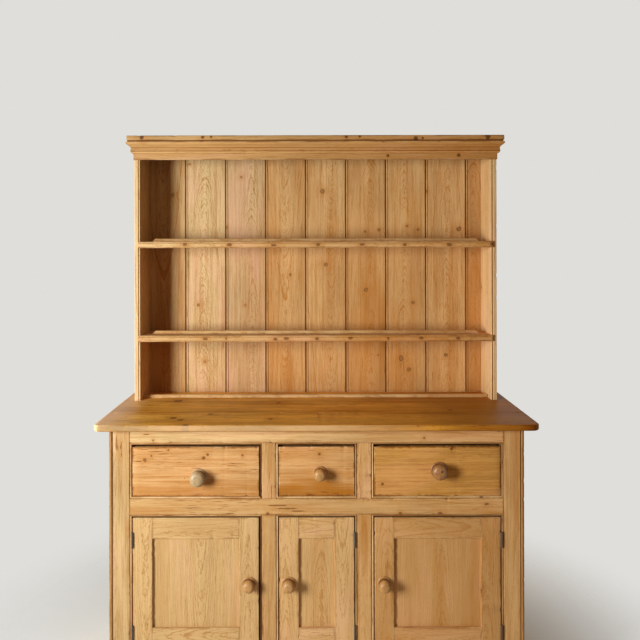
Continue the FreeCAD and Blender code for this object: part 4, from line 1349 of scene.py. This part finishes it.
fixingWays = {
    "screwHead": 5.4, "screwSlot": 0.16, "screwProud": 0.1, "nailHead": 3.6, "nailProud": 0.25,
    "screwSteps": 8, "nailSides": 9, "nailTop": 0.84, "seed": 7,
    "screwShares": (0.16, 0.5, 0.84),       # where they are along a hinge
    "leafFace": 0.14,                       # from the middle of its gap to a leaf's face
    "nailFromEdge": 28.0, "nailFromEnd": 14.0, "nailFromBack": 6.0, "nailGap": 80.0,
    "nailSunk": 0.32, "nosingSunk": 0.3,
}
nailIron = dullIron("rustedIronNail", "#4b4440", "#5a3620", 0.5)
screwSteel = dullIron("dulledSteelScrew", "#8a8681", "#6e5138", 0.9)


def headShape(name, slot):
    # A head of unit width and height. A screw's is two halves with its slot between them
    bm = bmesh.new()
    if slot:
        lean = math.asin(slot)
        for start in (0, math.pi):
            steps = fixingWays["screwSteps"]
            turns = [start + lean + (math.pi - 2 * lean) * i / steps for i in range(steps + 1)]
            extruded(bm, [(math.cos(turn) / 2, math.sin(turn) / 2) for turn in turns],
                     lambda x, y, z: (x, y, z), 0, 1)
    else:
        bmesh.ops.create_cone(bm, cap_ends=True, segments=fixingWays["nailSides"], radius1=0.5,
                              radius2=0.5 * fixingWays["nailTop"], depth=1)
        bmesh.ops.translate(bm, verts=bm.verts, vec=(0, 0, 0.5))
    mesh = bpy.data.meshes.new(name)
    bm.to_mesh(mesh)
    bm.free()
    return newObject(name, mesh)


def fixingTree():
    # Sets a head on every point, facing out along the point's own direction
    tree = bpy.data.node_groups.new("fixings", "GeometryNodeTree")
    for name, kind in (("Geometry", "Geometry"), ("head", "Object"), ("headWidth", "Float"),
                       ("proud", "Float"), ("seed", "Int"), ("finish", "Material")):
        tree.interface.new_socket(name, in_out="INPUT", socket_type="NodeSocket" + kind)
    tree.interface.new_socket("Geometry", in_out="OUTPUT", socket_type="NodeSocketGeometry")
    node = partial(addNode, tree)
    enter = node("NodeGroupInput").outputs
    head = node("GeometryNodeObjectInfo", {"Object": enter["head"]}).outputs["Geometry"]
    facing = node("GeometryNodeInputNamedAttribute", {"Name": "facing"}, data_type="FLOAT_VECTOR")
    turned = node("FunctionNodeAlignRotationToVector", {"Vector": facing}, axis="Z")
    size = node("ShaderNodeCombineXYZ", enter["headWidth"], enter["headWidth"], enter["proud"])
    heads = node("GeometryNodeInstanceOnPoints", {
        "Points": enter["Geometry"], "Instance": head, "Rotation": turned, "Scale": size})
    spin = node("FunctionNodeRandomValue", {2: 0.0, 3: 6.28, "Seed": enter["seed"]})
    spin = node("ShaderNodeCombineXYZ", {2: spin})
    heads = node("GeometryNodeRotateInstances", {"Instances": heads, "Rotation": spin})
    solid = node("GeometryNodeRealizeInstances", heads)
    done = node("GeometryNodeSetMaterial", {"Geometry": solid, "Material": enter["finish"]})
    node("NodeGroupOutput", done)
    return tree


headTree = fixingTree()
screwShape = headShape("screwHead", fixingWays["screwSlot"])
nailShape = headShape("nailHead", 0)


def fixings(name, body, kind, spots):
    # One body's screws or nails; a spot is a place in mm and the way the head faces
    mesh = bpy.data.meshes.new(name)
    mesh.from_pydata([Vector(place) * mm for place, facing in spots], [], [])
    layer = mesh.attributes.new("facing", "FLOAT_VECTOR", "POINT")
    layer.data.foreach_set("vector", [c for place, facing in spots for c in facing])
    obj = newObject(name, mesh)
    modifier = obj.modifiers.new("heads", "NODES")
    modifier.node_group = headTree
    values = {"head": screwShape if kind == "screw" else nailShape,
              "headWidth": fixingWays[kind + "Head"] * mm,
              "proud": fixingWays[kind + "Proud"] * mm,
              "seed": fixingWays["seed"], "finish": screwSteel if kind == "screw" else nailIron}
    for socket in headTree.interface.items_tree:
        if socket.in_out == "INPUT" and socket.name in values:
            modifier[socket.identifier] = values[socket.name]
    ready = bpy.context.evaluated_depsgraph_get()
    plain = bpy.data.meshes.new_from_object(obj.evaluated_get(ready))
    obj.modifiers.remove(modifier)
    obj.data = plain
    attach(obj, body)


def hingeScrews():
    # Three through each leaf of each hinge, into the frame and into the door
    ways = fixingWays
    frameFace = cadBox("frame_stile_left")[0][1]
    carcass = []
    for name, side in (("left", -1), ("centre", 1), ("right", 1)):
        onDoor = []
        for low, high in cadSolids("door_" + name + "_hinge_leaves"):
            pinX = (low[0] + high[0]) / 2
            y = high[1] - (high[1] - frameFace) / 2
            for share in ways["screwShares"]:
                z = low[2] + (high[2] - low[2]) * share
                carcass.append(((pinX + side * ways["leafFace"], y, z), (-side, 0, 0)))
                onDoor.append(((pinX - side * ways["leafFace"], y, z), (side, 0, 0)))
        fixings("door_" + name + "_hinge_screws", "door_" + name, "screw", onDoor)
    fixings("frame_hinge_screws", "carcass", "screw", carcass)


def nails():
    # Through the back boards into what lies before them, through the upper nosing's knots, and
    # through each drawer's bottom into its back
    ways = fixingWays
    middle = lambda box: (box[0][2] + box[1][2]) / 2
    fromEnd, fromEdge = ways["nailFromEnd"], ways["nailFromEdge"]
    heights = {
        "rack_back_boards": [middle(cadBox("upper_shelf")), middle(cadBox("lower_shelf")),
                             rackLow[2] + fromEnd, rackHigh[2] - fromEnd],
        "base_back_boards": [*map(middle, cadSolids("back_rails")),
                             middle(cadBox("bottom_board"))],
    }
    spots = []
    for name, levels in heights.items():
        for low, high in cadSolids(name):
            for z in levels:
                spots += [((x, high[1] - ways["nailSunk"], z), (0, 1, 0))
                          for x in (low[0] + fromEdge, high[0] - fromEdge)]
    tip = cadBox("upper_shelf_nosing")[0][1] + ways["nosingSunk"]
    spots += [((x, tip, z), (0, -1, 0)) for x, z, *size in upperNosingKnots]
    fixings("carcass_nails", "carcass", "nail", spots)
    for name in ("left", "centre", "right"):
        low, high = cadBox("drawer_" + name + "_bottom")
        count = max(3, round((high[0] - low[0]) / ways["nailGap"]))
        y = high[1] - drawerWays["backInset"] - ways["nailFromBack"]
        spots = [((low[0] + (high[0] - low[0]) * (i + 0.5) / count, y, low[2]), (0, 0, -1))
                 for i in range(count)]
        fixings("drawer_" + name + "_nails", "drawer_" + name, "nail", spots)


hingeScrews()
nails()
for shape in (screwShape, nailShape):
    bpy.data.objects.remove(shape)
print("hinges, screws and nails made")

roomWays = {
    "wall": "#dfdeda", "worldFill": 0.14, "worldColour": "#f5deba",
    "floor": "#f0eeea", "floorHalf": 4.0, "floorRoughness": 0.8, "fade": (0.6, 1.5),
    "aim": (0.05, 0.05, 1.15),
}
# In metres and watts: a window at the left, a warm fill in front and a lamp behind
lampWays = {
    "key": {"place": (-2.07, -1.75, 1.25), "size": (0.68, 1.3), "power": 65.0,
            "colour": "#e9f5fb", "spread": 130},
    "fill": {"place": (0.9, -2.9, 1.6), "size": (2.2, 2.2), "power": 5.0,
             "colour": "#ffe0ba", "spread": 180},
    "back": {"place": (0.3, 2.5, 0.45), "size": (2.4, 0.7), "power": 34.0,
             "colour": "#fff4e6", "spread": 180},
}
# The photograph's own view: the place in mm, and the rest in its pixels and in degrees
cameraWays = {"place": (-13.0, -2307.8, 1407.6), "focal": 656.7, "roll": 0.126,
              "centreX": 312.0, "horizonY": 251.0, "frame": 640.0, "film": 36.0}


def world():
    # Seen directly or in a gloss it is the pale wall, and its own light is faint and warm
    ways = roomWays
    scene.world = bpy.data.worlds.new("paleRoom")
    scene.world.use_nodes = True
    tree = scene.world.node_tree
    tree.nodes.clear()
    node = partial(addNode, tree)
    ray = node("ShaderNodeLightPath").outputs
    seen = node("maximum", ray["Is Camera Ray"], ray["Is Glossy Ray"])
    seen = node("maximum", seen, ray["Is Transmission Ray"])
    shown = node("ShaderNodeBackground", linear(ways["wall"]), 1.0)
    fill = node("ShaderNodeBackground", linear(ways["worldColour"]), ways["worldFill"])
    both = node("ShaderNodeMixShader", seen, fill, shown)
    node("ShaderNodeOutputWorld", both)


def floor():
    # A pale floor that fades out round the dresser
    ways = roomWays
    half = ways["floorHalf"]
    mesh = bpy.data.meshes.new("floor")
    mesh.from_pydata([(-half, -half, 0), (half, -half, 0), (half, half, 0), (-half, half, 0)], [],
                     [(0, 1, 2, 3)])
    ground = newObject("floor", mesh)
    material, tree, shader = newMaterial("paleFloor")
    node = partial(addNode, tree)
    setInputs(shader, {"Base Color": linear(ways["floor"]), "Roughness": ways["floorRoughness"]})
    place = node("ShaderNodeTexCoord").outputs["Object"]
    far = node("vector length", place)
    fade = node("ramp", far, *ways["fade"])
    clear = node("ShaderNodeBsdfTransparent")
    both = node("ShaderNodeMixShader", fade, shader, clear)
    setInputs(tree.nodes["Material Output"], {"Surface": both})
    mesh.materials.append(material)


def lamps():
    for name, ways in lampWays.items():
        lamp = bpy.data.lights.new(name, "AREA")
        lamp.shape = "RECTANGLE"
        lamp.size, lamp.size_y = ways["size"]
        lamp.energy = ways["power"]
        lamp.color = linear(ways["colour"])[:3]
        lamp.spread = math.radians(ways["spread"])
        light = newObject(name, lamp)
        light.location = ways["place"]
        aim = Vector(roomWays["aim"]) - light.location
        light.rotation_euler = aim.to_track_quat("-Z", "Y").to_euler()


def camera():
    ways = cameraWays
    wide = ways["frame"]
    lens = bpy.data.cameras.new("camera")
    lens.sensor_width = ways["film"]
    lens.lens = ways["film"] * ways["focal"] / wide
    lens.shift_x = (wide / 2 - ways["centreX"]) / wide
    lens.shift_y = -(wide / 2 - ways["horizonY"]) / wide
    lens.clip_start, lens.clip_end = 0.05, 60
    view = newObject("camera", lens)
    view.location = [c * mm for c in ways["place"]]
    view.rotation_euler = (math.radians(90), math.radians(ways["roll"]), 0)
    scene.camera = view


world()
floor()
lamps()
camera()
scene.view_settings.view_transform = "Standard"
print("scene ready")
